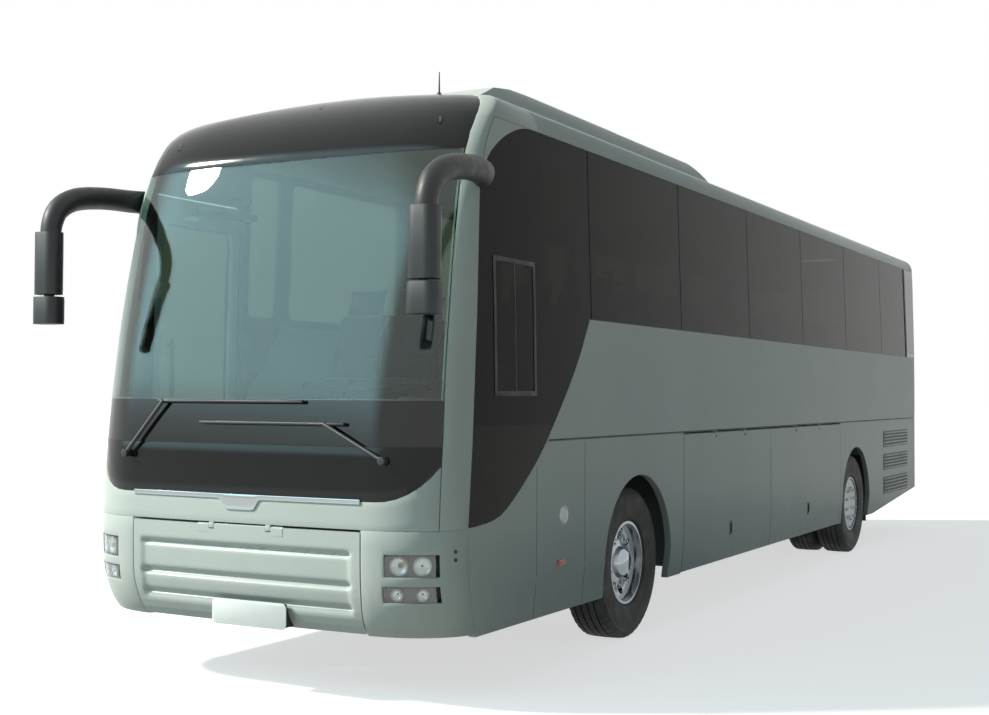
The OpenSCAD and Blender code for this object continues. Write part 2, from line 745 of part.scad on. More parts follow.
// rails with a bore for a towing pin at the front and a jacking pad behind the rear axle
rail_y = [330, 450];
rail_z = [axle_z + 118, axle_z + 278];
rail_x1 = 2250;
tow_r = 21;
tow_x = rail_x1 - 70;
pad_x = rear_x - 1140;
module chassis_rails() {
  color("#2b2d2f") both() {
    difference() {
      block([hold_x1 + seat_gap, rail_x1], rail_y, rail_z);
      translate([tow_x, (rail_y[0] + rail_y[1]) / 2, rail_z[0] - 10])
        cylinder(h = rail_z[1] - rail_z[0] + 20, r = tow_r);
    }
    block([tail_x + wall_t + 10, hold_x0 - seat_gap], rail_y, rail_z);
    block([pad_x - 70, pad_x + 70], rail_y, [rail_z[0] - 30, rail_z[0] + 5]);
  }
}
last_beam_x = rear_x - 2900;
beam_half = 60;
module cross_beams() {
  color("#2b2d2f") difference() {
    for (x = [1900, 800, -700, rear_x - 700, last_beam_x])
      block([x - beam_half, x + beam_half], [-rail_y[1] + seat_gap, rail_y[1] - seat_gap],
            [rail_z[0] + 10, (x > 760 ? cab_z : deck_z) - deck_t]);
    both() block([tail_x, rail_x1], [rail_y[0] - seat_gap, rail_y[1] + 10],
                 [rail_z[0] - 10, rail_z[1] + seat_gap]);
  }
}
module wheel_boxes() {
  y = [rail_y[1] + seat_gap, rail_y[1] + 10];
  z = [rail_z[0], deck_z - deck_t - seat_gap];
  color("#2b2d2f") both() {
    block([hold_x1 + seat_gap, 760 - seat_gap], y, z);
    block([rear_x - 760, hold_x0 - seat_gap], y, z);
  }
}
module luggage_bay() {
  color("#3c3f42") {
    difference() {
      block([hold_x0, hold_x1], [-step_y, step_y], [hold_z, hold_z + 45]);
      block([door2_x0 - 20, door2_x1 + 20], [-2 * half_w, -well2_y], [0, 1000]);
    }
    for (x = [hold_x0, hold_x1 - 40])
      block([x, x + 40], [-step_y, step_y], [hold_z, deck_z - deck_t]);
  }
}
module engine() {
  color("#3a3d40") block([last_beam_x + beam_half + seat_gap, last_beam_x + 1360],
                         [-rail_y[0] + seat_gap, rail_y[0] - seat_gap], [axle_z + 38, axle_z + 658]);
}

// running gear
module front_axle() {
  color("#2b2d2f") difference() {
    union() {
      block([-60, 60], [-king_y + 130, king_y - 130], [axle_z - 150, axle_z - 40]);
      both() block([-45, 45], [king_y - 150, king_y], [axle_z - 84, axle_z + 60]);
      both() translate([0, king_y, axle_z - 90]) cylinder(h = 180, r = 58);
      both() block([-50, 50], [360, 430], [axle_z - 60, rail_z[0]]);
    }
    both() translate([0, king_y, axle_z - 100]) cylinder(h = 300, r = king_r + run);
  }
}
module knuckle() {
  translate([0, king_y, 0]) {
    translate([0, 0, axle_z - 130]) cylinder(h = 260, r = king_r);
    translate([0, 0, axle_z - 130]) cylinder(h = 36, r = 62);
    translate([0, 0, axle_z + 94]) cylinder(h = 36, r = 62);
    block([-50, 50], [66, 100], [axle_z - 130, axle_z + 130]);
    block([-50, 50], [0, 70], [axle_z - 130, axle_z - 94]);
    block([-50, 50], [0, 70], [axle_z + 94, axle_z + 130]);
    translate([0, 90, axle_z]) rotate([-90, 0, 0]) cylinder(h = front_y - king_y - 90 + 60, r = spindle_r);
    block([-240, 0], [-20, 20], [axle_z - 130, axle_z - 98]);
    translate([-220, 0, axle_z - 190]) cylinder(h = 70, r = 14);
  }
}
module knuckle_left() {
  color("#3a3d40") knuckle();
}
module knuckle_right() {
  color("#3a3d40") mirror([0, 1, 0]) knuckle();
}
module tie_rod() {
  color("#3a3d40") difference() {
    union() {
      rod([-220, -king_y, axle_z - 168], [-220, king_y, axle_z - 168], 18);
      both() translate([-220, king_y, axle_z - 188]) cylinder(h = 40, r = 32);
    }
    translate([-220, king_y, 0]) cylinder(h = 1000, r = 14 + run);
    translate([-220, -king_y, 0]) cylinder(h = 1000, r = 14 + 0.3);
  }
}
// tyre section: radius, axial distance
module tyre(y) {
  w = tyre_w / 2;
  translate([0, y, axle_z]) rotate([-90, 0, 0]) rotate_extrude()
    polygon([[rim_r + 0.2, -w + 35], [rim_r + 30, -w + 12], [rim_r + 120, -w], [tyre_r - 35, -w + 8],
             [tyre_r, -w + 34],
             [tyre_r, w - 34], [tyre_r - 35, w - 8], [rim_r + 120, w], [rim_r + 30, w - 12],
             [rim_r + 0.2, w - 35]]);
}
module rim_barrel(y) {
  w = tyre_w / 2;
  translate([0, y, axle_z]) rotate([-90, 0, 0]) rotate_extrude()
    polygon([[rim_r - 18, -w + 28], [rim_r, -w + 28], [rim_r, w - 28], [rim_r - 18, w - 28]]);
}
module rim_front() {
  difference() {
    union() {
      rim_barrel(front_y);
      translate([0, front_y, axle_z]) rotate([-90, 0, 0]) rotate_extrude()
        polygon([[0, 75], [0, 118], [70, 118], [95, 100], [110, 60], [200, 34], [rim_r - 10, 60], [rim_r - 10, 46],
                 [200, 18], [110, 30], [95, -40], [spindle_r + run, -40], [spindle_r + run, 75]]);
    }
    for (i = [0:9])
      translate([0, front_y, axle_z]) rotate([0, i * 36, 0]) translate([210, 0, 0])
        rotate([90, 0, 0]) cylinder(h = 400, r = 30, center = true);
  }
}
module rim_rear() {
  y = rear_out_y;
  rim_barrel(y);
  rim_barrel(y - twin_gap);
  translate([0, y, axle_z]) rotate([-90, 0, 0]) rotate_extrude()
    polygon([[0, 75], [0, 100], [90, 100], [rim_r - 40, 112], [rim_r - 10, 100], [rim_r - 10, 84], [rim_r - 40, 92],
             [100, 82],
             [100, -120], [rim_r - 10, -150], [rim_r - 10, -180], [100, -160], [spindle_r + run, -160],
             [spindle_r + run, 75]]);
  translate([0, y - twin_gap / 2, axle_z]) rotate([-90, 0, 0]) rotate_extrude()
    polygon([[rim_r - 17, -80], [rim_r - 9, -80], [rim_r - 9, 80], [rim_r - 17, 80]]);
}
module tyre_front_left() {
  color("#1a1a1b") tyre(front_y);
}
module tyre_front_right() {
  color("#1a1a1b") mirror([0, 1, 0]) tyre(front_y);
}
module rim_front_left() {
  color("#c4c8cb") rim_front();
}
module rim_front_right() {
  color("#c4c8cb") mirror([0, 1, 0]) rim_front();
}
module rear_tyres() {
  translate([rear_x, 0, 0]) {
    tyre(rear_out_y);
    tyre(rear_out_y - twin_gap);
  }
}
module tyres_rear_left() {
  color("#1a1a1b") rear_tyres();
}
module tyres_rear_right() {
  color("#1a1a1b") mirror([0, 1, 0]) rear_tyres();
}
module rims_rear_left() {
  color("#c4c8cb") translate([rear_x, 0, 0]) rim_rear();
}
module rims_rear_right() {
  color("#c4c8cb") mirror([0, 1, 0]) translate([rear_x, 0, 0]) rim_rear();
}
module rear_axle() {
  y1 = rear_out_y - twin_gap - tyre_w / 2 - 40;
  color("#2b2d2f") translate([rear_x, 0, 0]) {
    translate([0, -y1, axle_z]) rotate([-90, 0, 0]) cylinder(h = 2 * y1, r = 95);
    translate([0, -rear_out_y - 60, axle_z]) rotate([-90, 0, 0])
      cylinder(h = 2 * rear_out_y + 120, r = spindle_r);
    translate([0, 0, axle_z]) sphere(r = 230);
    both() block([-55, 55], [350, 430], [axle_z + 40, rail_z[0]]);
  }
}

// doors on the right, each a leaf on a swinging arm
arm_y = half_w - 165;
arm_zs = [880, door_hi - 110];
column_hi = door_hi + gap + 63;
arm_in = 60;
module door_column(x) {
  translate([x, -arm_y, 0]) {
    translate([0, 0, sill_z + 50]) cylinder(h = column_hi - sill_z - 50, r = 20);
    translate([0, 0, column_hi - 40]) cylinder(h = 40, r = 40);
    block([-40, 40], [arm_y - wide(column_hi) + wall_t + 0.3, 0], [column_hi - 40, column_hi]);
  }
}
module door_columns() {
  color("#2b2d2f") {
    door_column(door1_x0 + arm_in);
    door_column(door2_x0 + arm_in);
  }
}
elbow = [105, 182];
module door_arm(x) {
  for (z = arm_zs)
    translate([x, -arm_y, z]) difference() {
      union() {
        cylinder(h = 40, r = 38);
        linear_extrude(40) polygon([[0, -18], [elbow[0] + 12, elbow[1] - 26], [arm_len, -18], [arm_len, 18],
                                    [elbow[0] + 4, elbow[1] + 20], [-20, 20]]);
        translate([arm_len, 0, -30]) cylinder(h = 100, r = 14);
        translate([arm_len, 0, 0]) cylinder(h = 40, r = 30);
      }
      translate([0, 0, -10]) cylinder(h = 60, r = 20 + run);
    }
  translate([x, -arm_y, arm_zs[0] + 30]) difference() {
    cylinder(h = arm_zs[1] - arm_zs[0] - 20, r = 30);
    translate([0, 0, -1]) cylinder(h = arm_zs[1] - arm_zs[0], r = 20 + run);
  }
}
module door_arm_front() {
  color("#3a3d40") door_arm(door1_x0 + arm_in);
}
module door_arm_middle() {
  color("#3a3d40") door_arm(door2_x0 + arm_in);
}
module door_leaf(x0, x1, wz) {
  jx = x0 + arm_in + arm_len;
  mirror([0, 1, 0]) difference() {
    along_x(x0, x1) half_wall(0, leaf_t, sill_z + 8, door_hi);
    along_side() rrect(x0 + 70, x1 - 70, wz, door_hi - 170, 60);
  }
  for (z = arm_zs) {
    difference() {
      union() {
        block([jx - 36, jx + 36], [-wide(z) + leaf_t / 2, -arm_y], [z - 36, z - 8]);
        translate([jx, -arm_y, z - 36]) cylinder(h = 28, r = 36);
      }
      translate([jx, -arm_y, z - 50]) cylinder(h = 100, r = 14 + run);
    }
  }
}
module door_front() {
  color("#d9dcd6") door_leaf(door1_x0, door1_x1, 1000);
}
module door_middle() {
  color("#d9dcd6") door_leaf(door2_x0, door2_x1, 1500);
}
module door_pane(x0, x1, wz) {
  mirror([0, 1, 0]) intersection() {
    along_x(x0, x1) half_wall(4, 4 + glass_t, sill_z, door_hi);
    along_side() rrect(x0 + 70 + seam, x1 - 70 - seam, wz + seam, door_hi - 170 - seam, 60 - seam);
  }
}
module door_glass_front() {
  color("#20262a", 0.6) door_pane(door1_x0, door1_x1, 1000);
}
module door_glass_middle() {
  color("#20262a", 0.6) door_pane(door2_x0, door2_x1, 1500);
}

// mirrors on arms that reach ahead of the screen posts
// bends of a mirror arm: x, distance outside the body side, z, radius
mirror_path = [[2170, -90, 2900, 75], [2290, 10, 2905, 72], [2500, 45, 2900, 70], [2720, 48, 2865, 70],
               [2860, 44, 2790, 66], [2915, 41, 2690, 62], [2922, 41, 2600, 60]];
mirror_steps = curve([for (b = mirror_path) [b[0], half_w + b[1], b[2], b[3]]], 4);
// mirror heads: rear face behind the front face, inner and outer side from the body side, bottom, top
heads = [[130, -45, 125, 2268, 2640], [136, -52, 132, 2092, 2254]];
function axis3(q) = [q[0], q[1], q[2]];
module tube(path, n, side = [0, 1, 0]) {
  m = len(path);
  function dir(i) = let (v = axis3(path[min(i + 1, m - 1)]) - axis3(path[max(i - 1, 0)])) v / norm(v);
  function ring(i) = let (t = dir(i), a = cross(side, t) / norm(cross(side, t)), b = cross(t, a))
    [for (j = [0:n - 1]) axis3(path[i]) + path[i][3] * (a * cos(j * 360 / n) + b * sin(j * 360 / n))];
  sides = [for (i = [0:m - 2]) for (j = [0:n - 1]) let (k = (j + 1) % n) each
    [[i * n + j, (i + 1) * n + j, (i + 1) * n + k], [i * n + j, (i + 1) * n + k, i * n + k]]];
  ends = [for (j = [1:n - 2]) each [[0, j, j + 1], [(m - 1) * n, (m - 1) * n + j + 1, (m - 1) * n + j]]];
  polyhedron([for (i = [0:m - 1]) each ring(i)], concat(sides, ends));
}
module mirror_arm() {
  tube(mirror_steps, 16);
  for (h = heads)
    translate([0, 0, h[3]]) linear_extrude(h[4] - h[3])
      rrect(mirror_x - h[0], mirror_x, half_w + h[1], half_w + h[2], 58);
  translate([mirror_x - 70, half_w + 40, heads[1][4] - 10]) cylinder(h = 40, r = 30);
}
module mirrors() {
  color("#1a1b1d") both() difference() {
    mirror_arm();
    along_x(1800, 2400) polygon(half_section(-0.3));
  }
}
// wiper: pivot, end of the arm, ends of the blade across the coach, height of the blade
wiper_table = [[940, 565, -300, 690, 1520], [-860, -590, -640, 410, 1640]];
wiper_z = 1330;
pivot_r = 22;
module wiper(w) {
  x0 = max([for (a = [0:45:315]) face_x(w[0] + pivot_r * cos(a), wiper_z + pivot_r * sin(a))]);
  x1 = face_x(w[1], w[4]) + 34;
  translate([x0 + 0.1, w[0], wiper_z]) rotate([0, 90, 0]) cylinder(h = 46, r = pivot_r);
  rod([x0 + 30, w[0], wiper_z], [x1, w[1], w[4]], 11);
  tube([for (y = span(w[2], w[3], 8)) [face_x(y, w[4]) + 22, y, w[4], 10]], 10, [0, 0, 1]);
}
module wipers() {
  color("#141516") for (w = wiper_table)
    wiper(w);
}

// inside
module dashboard() {
  color("#2a2c2e") {
    difference() {
      along_y(-880, 980)
        polygon([[1960, cab_z + 0.3], [1900, 1330], [2000, 1420], [2330, 1380], [2330, cab_z + 0.3]]);
      block([1700, 2180], [-1000, -540], [900, 1290]);
    }
    rod([1960, 620, 1320], [1800, 620, 1490], 30);
    translate([1790, 620, 1500]) rotate([0, -43, 0]) {
      rotate_extrude() translate([225, 0]) circle(16);
      for (a = [0:120:240])
        rotate([0, 0, a]) block([0, 222], [-14, 14], [-6, 6]);
      translate([0, 0, -30]) cylinder(h = 44, r = 55);
    }
  }
}
module seat_shape(w) {
  along_y(-w / 2, w / 2) polygon([[0, 430], [0, 330], [430, 330], [430, 440], [120, 450],
                                  [-110, 1130], [-200, 1110], [-60, 430]]);
  block([60, 330], [-w / 4, w / 4], [0, 340]);
}
module seats() {
  color("#4a4f58") {
    translate([1100, 620, cab_z]) seat_shape(520);
    for (i = [0:10])
      for (y = [-1, 1])
        if (y > 0 || i < 5 || i > 7)
          translate([250 - i * seat_pitch, y * 690, deck_z]) seat_shape(880);
  }
}

module at_frame() {
  translate([front_axle_x, 0, 0]) children();
}
at_frame() roof();
at_frame() roof_unit();
at_frame() windscreen();
at_frame() front_header();
at_frame() nose_cap();
at_frame() front_panel();
at_frame() front_mask();
at_frame() front_flap();
at_frame() bumper();
at_frame() headlamps();
at_frame() side_panel_left();
at_frame() side_panel_right();
at_frame() window_frame_left();
at_frame() window_frame_right();
at_frame() glass_left();
at_frame() glass_right();
at_frame() skirt_left();
at_frame() skirt_right();
at_frame() luggage_flap_left_front();
at_frame() luggage_flap_left_rear();
at_frame() luggage_flap_right_front();
at_frame() luggage_flap_right_rear();
at_frame() rear_wall();
at_frame() rear_window();
at_frame() rear_lamps();
at_frame() engine_lid();
at_frame() passenger_floor();
at_frame() stairs();
at_frame() chassis_rails();
at_frame() cross_beams();
at_frame() wheel_boxes();
at_frame() luggage_bay();
at_frame() engine();
at_frame() front_axle();
at_frame() knuckle_left();
at_frame() knuckle_right();
at_frame() tie_rod();
at_frame() tyre_front_left();
at_frame() tyre_front_right();
at_frame() rim_front_left();
at_frame() rim_front_right();
at_frame() tyres_rear_left();
at_frame() tyres_rear_right();
at_frame() rims_rear_left();
at_frame() rims_rear_right();
at_frame() rear_axle();
at_frame() door_columns();
at_frame() door_arm_front();
at_frame() door_arm_middle();
at_frame() door_front();
at_frame() door_middle();
at_frame() door_glass_front();
at_frame() door_glass_middle();
at_frame() mirrors();
at_frame() wipers();
at_frame() dashboard();
at_frame() seats();
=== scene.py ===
# %% [markdown]
# # Dressing a touring coach
# The solids of the coach come packed as a fixed frame: each panel, pane and wheel already has its place
# and its joint. This lesson gives every one of them a finish, rounds the panel edges so that they catch
# light, and adds the trim that a solid model leaves out. Lengths are metres; X points forward, Y to the
# coach's left, Z up.

# %% load the frame
import json
import math

import bmesh
import bpy
from mathutils import Matrix, Vector
from mathutils.bvhtree import BVHTree

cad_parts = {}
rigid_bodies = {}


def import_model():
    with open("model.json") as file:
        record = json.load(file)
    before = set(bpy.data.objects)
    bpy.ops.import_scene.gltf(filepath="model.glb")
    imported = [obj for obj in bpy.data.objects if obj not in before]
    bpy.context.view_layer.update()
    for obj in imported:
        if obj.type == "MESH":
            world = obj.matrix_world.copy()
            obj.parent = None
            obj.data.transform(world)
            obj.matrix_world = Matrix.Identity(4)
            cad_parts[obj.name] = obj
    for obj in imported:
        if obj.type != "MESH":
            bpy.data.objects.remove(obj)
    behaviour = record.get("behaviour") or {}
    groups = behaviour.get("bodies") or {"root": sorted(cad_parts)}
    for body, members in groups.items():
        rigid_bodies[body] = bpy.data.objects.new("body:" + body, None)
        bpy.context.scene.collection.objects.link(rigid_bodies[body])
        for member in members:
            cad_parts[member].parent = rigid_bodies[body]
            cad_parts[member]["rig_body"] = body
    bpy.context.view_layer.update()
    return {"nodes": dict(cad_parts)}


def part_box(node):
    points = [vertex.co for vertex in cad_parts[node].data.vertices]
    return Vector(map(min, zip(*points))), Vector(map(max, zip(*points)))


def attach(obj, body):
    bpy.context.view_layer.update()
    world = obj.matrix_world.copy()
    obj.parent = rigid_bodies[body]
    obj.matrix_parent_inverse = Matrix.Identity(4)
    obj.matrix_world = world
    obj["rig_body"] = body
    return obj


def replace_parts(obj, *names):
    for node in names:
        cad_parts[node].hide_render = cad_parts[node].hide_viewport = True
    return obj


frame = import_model()
nodes = frame["nodes"]


def middle(node):
    low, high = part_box(node)
    return (Vector(low) + Vector(high)) / 2


FRONT_WHEEL = middle("tyre_front_left")
REAR_WHEEL = middle("tyres_rear_left")
HALF_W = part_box("skirt_left")[1][1]
LEFT, RIGHT = Vector((0, 1, 0)), Vector((0, -1, 0))
FRONT, REAR, UP = Vector((1, 0, 0)), Vector((-1, 0, 0)), Vector((0, 0, 1))


def ahead(x):
    return FRONT_WHEEL.x + x


# %% [markdown]
# The camera comes first, because everything else is judged through it. Its place was worked out from the
# straight lines of the coach in the photograph: it stands at eye level off the front left corner, with a
# normal lens.

# %% camera
CAMERA_AT = Vector((ahead(8.864), 4.951, 1.687))
YAW, PITCH, ROLL = math.radians(28.58), math.radians(1.52), math.radians(0.26)
LENS_MM, SENSOR_MM = 50.06, 36.0

forward = Vector((-math.cos(YAW) * math.cos(PITCH), -math.sin(YAW) * math.cos(PITCH), math.sin(PITCH)))
sight = bpy.data.cameras.new("sight")
sight.lens = LENS_MM
sight.sensor_width = SENSOR_MM
sight.sensor_fit = "HORIZONTAL"
sight.clip_end = 400
camera = bpy.data.objects.new("camera", sight)
bpy.context.scene.collection.objects.link(camera)
camera.matrix_world = (Matrix.Translation(CAMERA_AT) @ forward.to_track_quat("-Z", "Y").to_matrix().to_4x4()
                       @ Matrix.Rotation(ROLL, 4, "Z"))
bpy.context.scene.camera = camera
print("camera at", [round(v, 3) for v in CAMERA_AT])

# %% [markdown]
# A few helpers serve all finishes. Colours are written as they look on a screen, in hex, and turned to
# linear light. A node is added in one call, with its settings, its values and what feeds it. Noise,
# blends of two colours, uneven roughness and grain come up again and again, so each has a short name.

# %% colour and node helpers
def shade(code, alpha=1.0):
    parts = [int(code[i:i + 2], 16) / 255 for i in (1, 3, 5)]
    return [c / 12.92 if c <= 0.04045 else ((c + 0.055) / 1.055) ** 2.4 for c in parts] + [alpha]


def put(tree, kind, values={}, links={}, **settings):
    made = tree.nodes.new(kind)
    for key, value in settings.items():
        setattr(made, key, value)
    for key, value in values.items():
        made.inputs[key].default_value = value
    for key, source in links.items():
        tree.links.new(source, made.inputs[key])
    return made


def begin(name, **values):
    mat = bpy.data.materials.new(name)
    mat.use_nodes = True
    tree = mat.node_tree
    tree.nodes.clear()
    surface = put(tree, "ShaderNodeBsdfPrincipled", {k.replace("_", " "): v for k, v in values.items()})
    put(tree, "ShaderNodeOutputMaterial", links={"Surface": surface.outputs[0]})
    place = put(tree, "ShaderNodeTexCoord").outputs["Object"]
    return mat, tree, surface, place


def per_metre(size_mm):
    return 1000 / size_mm


def noise(tree, place, size_mm, detail, **more):
    values = {"Scale": per_metre(size_mm), "Detail": detail} | more
    return put(tree, "ShaderNodeTexNoise", values, {"Vector": place}).outputs["Fac"]


def blend(tree, share, first, second):
    both = {6: shade(first), 7: shade(second)}
    return put(tree, "ShaderNodeMix", both, {0: share}, data_type="RGBA").outputs[2]


def vary_rough(tree, surface, source, low, high):
    rough = put(tree, "ShaderNodeMapRange", {"From Min": 0.3, "From Max": 0.7, "To Min": low, "To Max": high},
                {"Value": source})
    tree.links.new(rough.outputs[0], surface.inputs["Roughness"])


def raise_grain(tree, surface, height, strength, distance):
    bump = put(tree, "ShaderNodeBump", {"Strength": strength, "Distance": distance}, {"Height": height})
    tree.links.new(bump.outputs[0], surface.inputs["Normal"])


# %% [markdown]
# The body is sprayed in a pale silver lacquer under clear coat. What the eye reads is a slightly metallic
# ground, a faint orange peel in the reflections and road dust that thickens towards the sill. The peel is
# about 9 mm across on the real panel, drawn at 14 mm so that it shows.

# %% body lacquer
DUST_TOP, DUST_FULL = 0.95, 0.35


def body_lacquer():
    mat, tree, surface, place = begin("silver_lacquer", Metallic=0.05, IOR=1.5, Specular_IOR_Level=0.03,
                                      Coat_Weight=0.05, Coat_Roughness=0.06)
    ground = blend(tree, noise(tree, place, 700, 4.0), "#bfc5c0", "#cbd0cc")
    split = put(tree, "ShaderNodeSeparateXYZ", links={"Vector": place})
    low = put(tree, "ShaderNodeMapRange", {"From Min": DUST_TOP, "From Max": DUST_FULL, "To Max": 0.35},
              {"Value": split.outputs["Z"]})
    streak = noise(tree, place, 160, 6.0, Roughness=0.65)
    dust = put(tree, "ShaderNodeMath", links={0: low.outputs[0], 1: streak}, operation="MULTIPLY").outputs[0]
    colour = put(tree, "ShaderNodeMix", {7: shade("#85857a")}, {0: dust, 6: ground}, data_type="RGBA")
    rough = put(tree, "ShaderNodeMapRange", {"To Min": 0.34, "To Max": 0.52}, {"Value": dust})
    tree.links.new(colour.outputs[2], surface.inputs["Base Color"])
    tree.links.new(rough.outputs[0], surface.inputs["Roughness"])
    raise_grain(tree, surface, noise(tree, place, 14, 1.0), 0.03, 0.0006)
    return mat


lacquer = body_lacquer()
print("finish:", lacquer.name)

# %% [markdown]
# Glass comes in two kinds. The windscreen is clear laminated glass with a faint green tint, printed solid
# black below the line of the wipers; the side panes are privacy glass, nearly black from outside. Both
# are transmissive, so the cabin shows through. A thin film of road haze breaks the reflection a little.

# %% glass
PRINT_TOP, PRINT_FADE = 1.655, 0.006


def glazing(name, tint, haze, ior, printed=False):
    mat, tree, surface, place = begin(name, IOR=ior, Base_Color=shade(tint), Transmission_Weight=1.0)
    film = noise(tree, place, 240, 5.0)
    rough = put(tree, "ShaderNodeMapRange", {"To Min": 0.0, "To Max": haze}, {"Value": film})
    tree.links.new(rough.outputs[0], surface.inputs["Roughness"])
    if printed:
        split = put(tree, "ShaderNodeSeparateXYZ", links={"Vector": place})
        clear = put(tree, "ShaderNodeMapRange", {"From Min": PRINT_TOP - PRINT_FADE, "From Max": PRINT_TOP},
                    {"Value": split.outputs["Z"]}).outputs[0]
        tree.links.new(clear, surface.inputs["Transmission Weight"])
        tree.links.new(blend(tree, clear, "#0c0f0f", tint), surface.inputs["Base Color"])
    return mat


clear_glass = glazing("laminated_windscreen", "#b9d2cb", 0.03, 1.52, printed=True)
dark_glass = glazing("privacy_glass", "#4a5040", 0.04, 1.12)
print("finish:", clear_glass.name, dark_glass.name)

# %% [markdown]
# Moulded and rubber parts share one recipe: a dark ground, a fine grain in the bump and a roughness that
# varies with it. Gloss black panels, grained mirror housings, seals, tyres and the dashboard differ only
# in their numbers: the ground colours, how rough they are, and the grain's width in millimetres.

# %% moulded finishes
def moulded(name, dark, light, rough_lo, rough_hi, grain_mm, depth_mm, mottle_mm, **values):
    mat, tree, surface, place = begin(name, **values)
    mottle = noise(tree, place, mottle_mm, 5.0)
    tree.links.new(blend(tree, mottle, dark, light), surface.inputs["Base Color"])
    vary_rough(tree, surface, mottle, rough_lo, rough_hi)
    grain = put(tree, "ShaderNodeTexVoronoi", {"Scale": per_metre(grain_mm)}, {"Vector": place})
    raise_grain(tree, surface, grain.outputs["Distance"], 0.4, depth_mm / 1000)
    return mat


gloss_black = moulded("gloss_black_acrylic", "#101213", "#171a1b", 0.06, 0.12, 30, 0.0, 400, IOR=1.5,
                      Specular_IOR_Level=0.3)
grained_abs = moulded("grained_black_abs", "#1b1e20", "#262a2c", 0.42, 0.58, 5, 0.25, 60, IOR=1.5)
seal_rubber = moulded("seal_rubber", "#141516", "#1e2021", 0.55, 0.75, 4, 0.1, 90, IOR=1.5)
tyre_rubber = moulded("tyre_rubber", "#1a1b1b", "#2a2a28", 0.62, 0.85, 6, 0.3, 120, IOR=1.5)
dash_skin = moulded("dash_pvc_skin", "#25282a", "#303436", 0.5, 0.65, 4, 0.2, 200, IOR=1.5)
floor_vinyl = moulded("floor_vinyl", "#54585b", "#676b6d", 0.45, 0.6, 7, 0.1, 12, IOR=1.5)
chassis_paint = moulded("chassis_paint", "#17191a", "#33332f", 0.45, 0.75, 9, 0.2, 180, IOR=1.5)
cast_iron = moulded("cast_iron", "#3a3c3d", "#50504c", 0.55, 0.8, 6, 0.4, 150, Metallic=0.6)
plate_white = moulded("plate_enamel", "#e9ebea", "#f2f3f2", 0.3, 0.4, 25, 0.02, 90, IOR=1.5)
print("finish: nine moulded and painted grounds")

# %% [markdown]
# Metals keep their default refraction and get their character from fine scratches: noise stretched along
# one axis for a spun or brushed look. Lamp lenses are clear or coloured polycarbonate.

# %% metals and lenses
def metal(name, ground, rough_lo, rough_hi, scratch_mm):
    mat, tree, surface, place = begin(name, Metallic=1.0, Base_Color=shade(ground))
    stretch = put(tree, "ShaderNodeMapping", {"Scale": (1.0, 14.0, 1.0)}, {"Vector": place})
    scratch = noise(tree, stretch.outputs[0], scratch_mm, 6.0, Roughness=0.7)
    vary_rough(tree, surface, scratch, rough_lo, rough_hi)
    raise_grain(tree, surface, scratch, 0.05, 0.0003)
    return mat


def lens(name, tint, rough):
    mat, tree, surface, place = begin(name, IOR=1.58, Base_Color=shade(tint), Roughness=rough,
                                      Transmission_Weight=1.0)
    flute = put(tree, "ShaderNodeTexWave", {"Scale": per_metre(60), "Distortion": 0.4}, {"Vector": place})
    raise_grain(tree, surface, flute.outputs["Fac"], 0.15, 0.001)
    return mat


chrome = metal("chrome_plate", "#a9afb1", 0.05, 0.12, 60)
polished_steel = metal("polished_steel", "#a2a8ab", 0.10, 0.24, 40)
wheel_silver = metal("wheel_silver", "#8b9395", 0.35, 0.5, 50)
reflector = metal("aluminised_reflector", "#9aa2a0", 0.10, 0.22, 80)
mirror_silver = metal("mirror_glass", "#dfe4e4", 0.02, 0.05, 300)
clear_lens = lens("clear_polycarbonate", "#f2f6f6", 0.03)
amber_lens = lens("amber_polycarbonate", "#e8863a", 0.08)
red_lens = lens("red_polycarbonate", "#b3201c", 0.1)
print("finish: metals and lenses")

# %% [markdown]
# Coach seats wear moquette, a short woven pile. Two crossed waves give the ribs of the weave, about 3 mm
# on the real cloth and drawn at about 19 mm so that they show (a wave's band is nearly a third of its
# scale), and a noise gives the pile its shimmer.

# %% seat moquette
RIB_SCALE_MM = 60


def moquette():
    mat, tree, surface, place = begin("seat_moquette", IOR=1.45, Roughness=0.9, Sheen_Weight=0.4,
                                      Sheen_Roughness=0.4)
    rib = {"Scale": per_metre(RIB_SCALE_MM), "Distortion": 1.2}
    ribs = [put(tree, "ShaderNodeTexWave", rib, {"Vector": place}, bands_direction=axis).outputs["Fac"]
            for axis in ("Y", "Z")]
    weave = put(tree, "ShaderNodeMath", links={0: ribs[0], 1: ribs[1]}, operation="MULTIPLY")
    fleck = blend(tree, noise(tree, place, 40, 6.0), "#2c3440", "#4a5666")
    tree.links.new(fleck, surface.inputs["Base Color"])
    raise_grain(tree, surface, weave.outputs[0], 0.5, 0.001)
    return mat


cloth = moquette()
print("finish:", cloth.name)

# %% [markdown]
# A solid's mesh arrives as loose triangles with razor edges. Real sheet metal and mouldings have a small
# radius that catches the light, so each node gets a merged copy: flat triangles are dissolved, sharp
# edges are bevelled, and the rest is shaded smooth, with normals weighted by area so that large panels
# stay flat. The copy stands for the node and rides on the same body.

# %% dress a node
BODY = nodes["roof"]["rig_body"]


def new_piece(name, bm, mat, body=BODY, sharp=30, even=False):
    for face in bm.faces:
        face.smooth = True
    for edge in bm.edges:
        if len(edge.link_faces) == 2 and edge.calc_face_angle(0) > math.radians(sharp):
            edge.smooth = False
    mesh = bpy.data.meshes.new(name)
    bm.to_mesh(mesh)
    bm.free()
    mesh.materials.append(mat)
    piece = bpy.data.objects.new(name, mesh)
    bpy.context.scene.collection.objects.link(piece)
    if even:
        piece.modifiers.new("even_normals", "WEIGHTED_NORMAL").keep_sharp = True
    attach(piece, body)
    return piece


def merged(node):
    bm = bmesh.new()
    bm.from_mesh(nodes[node].data)
    bmesh.ops.remove_doubles(bm, verts=bm.verts, dist=0.00004)
    return bm


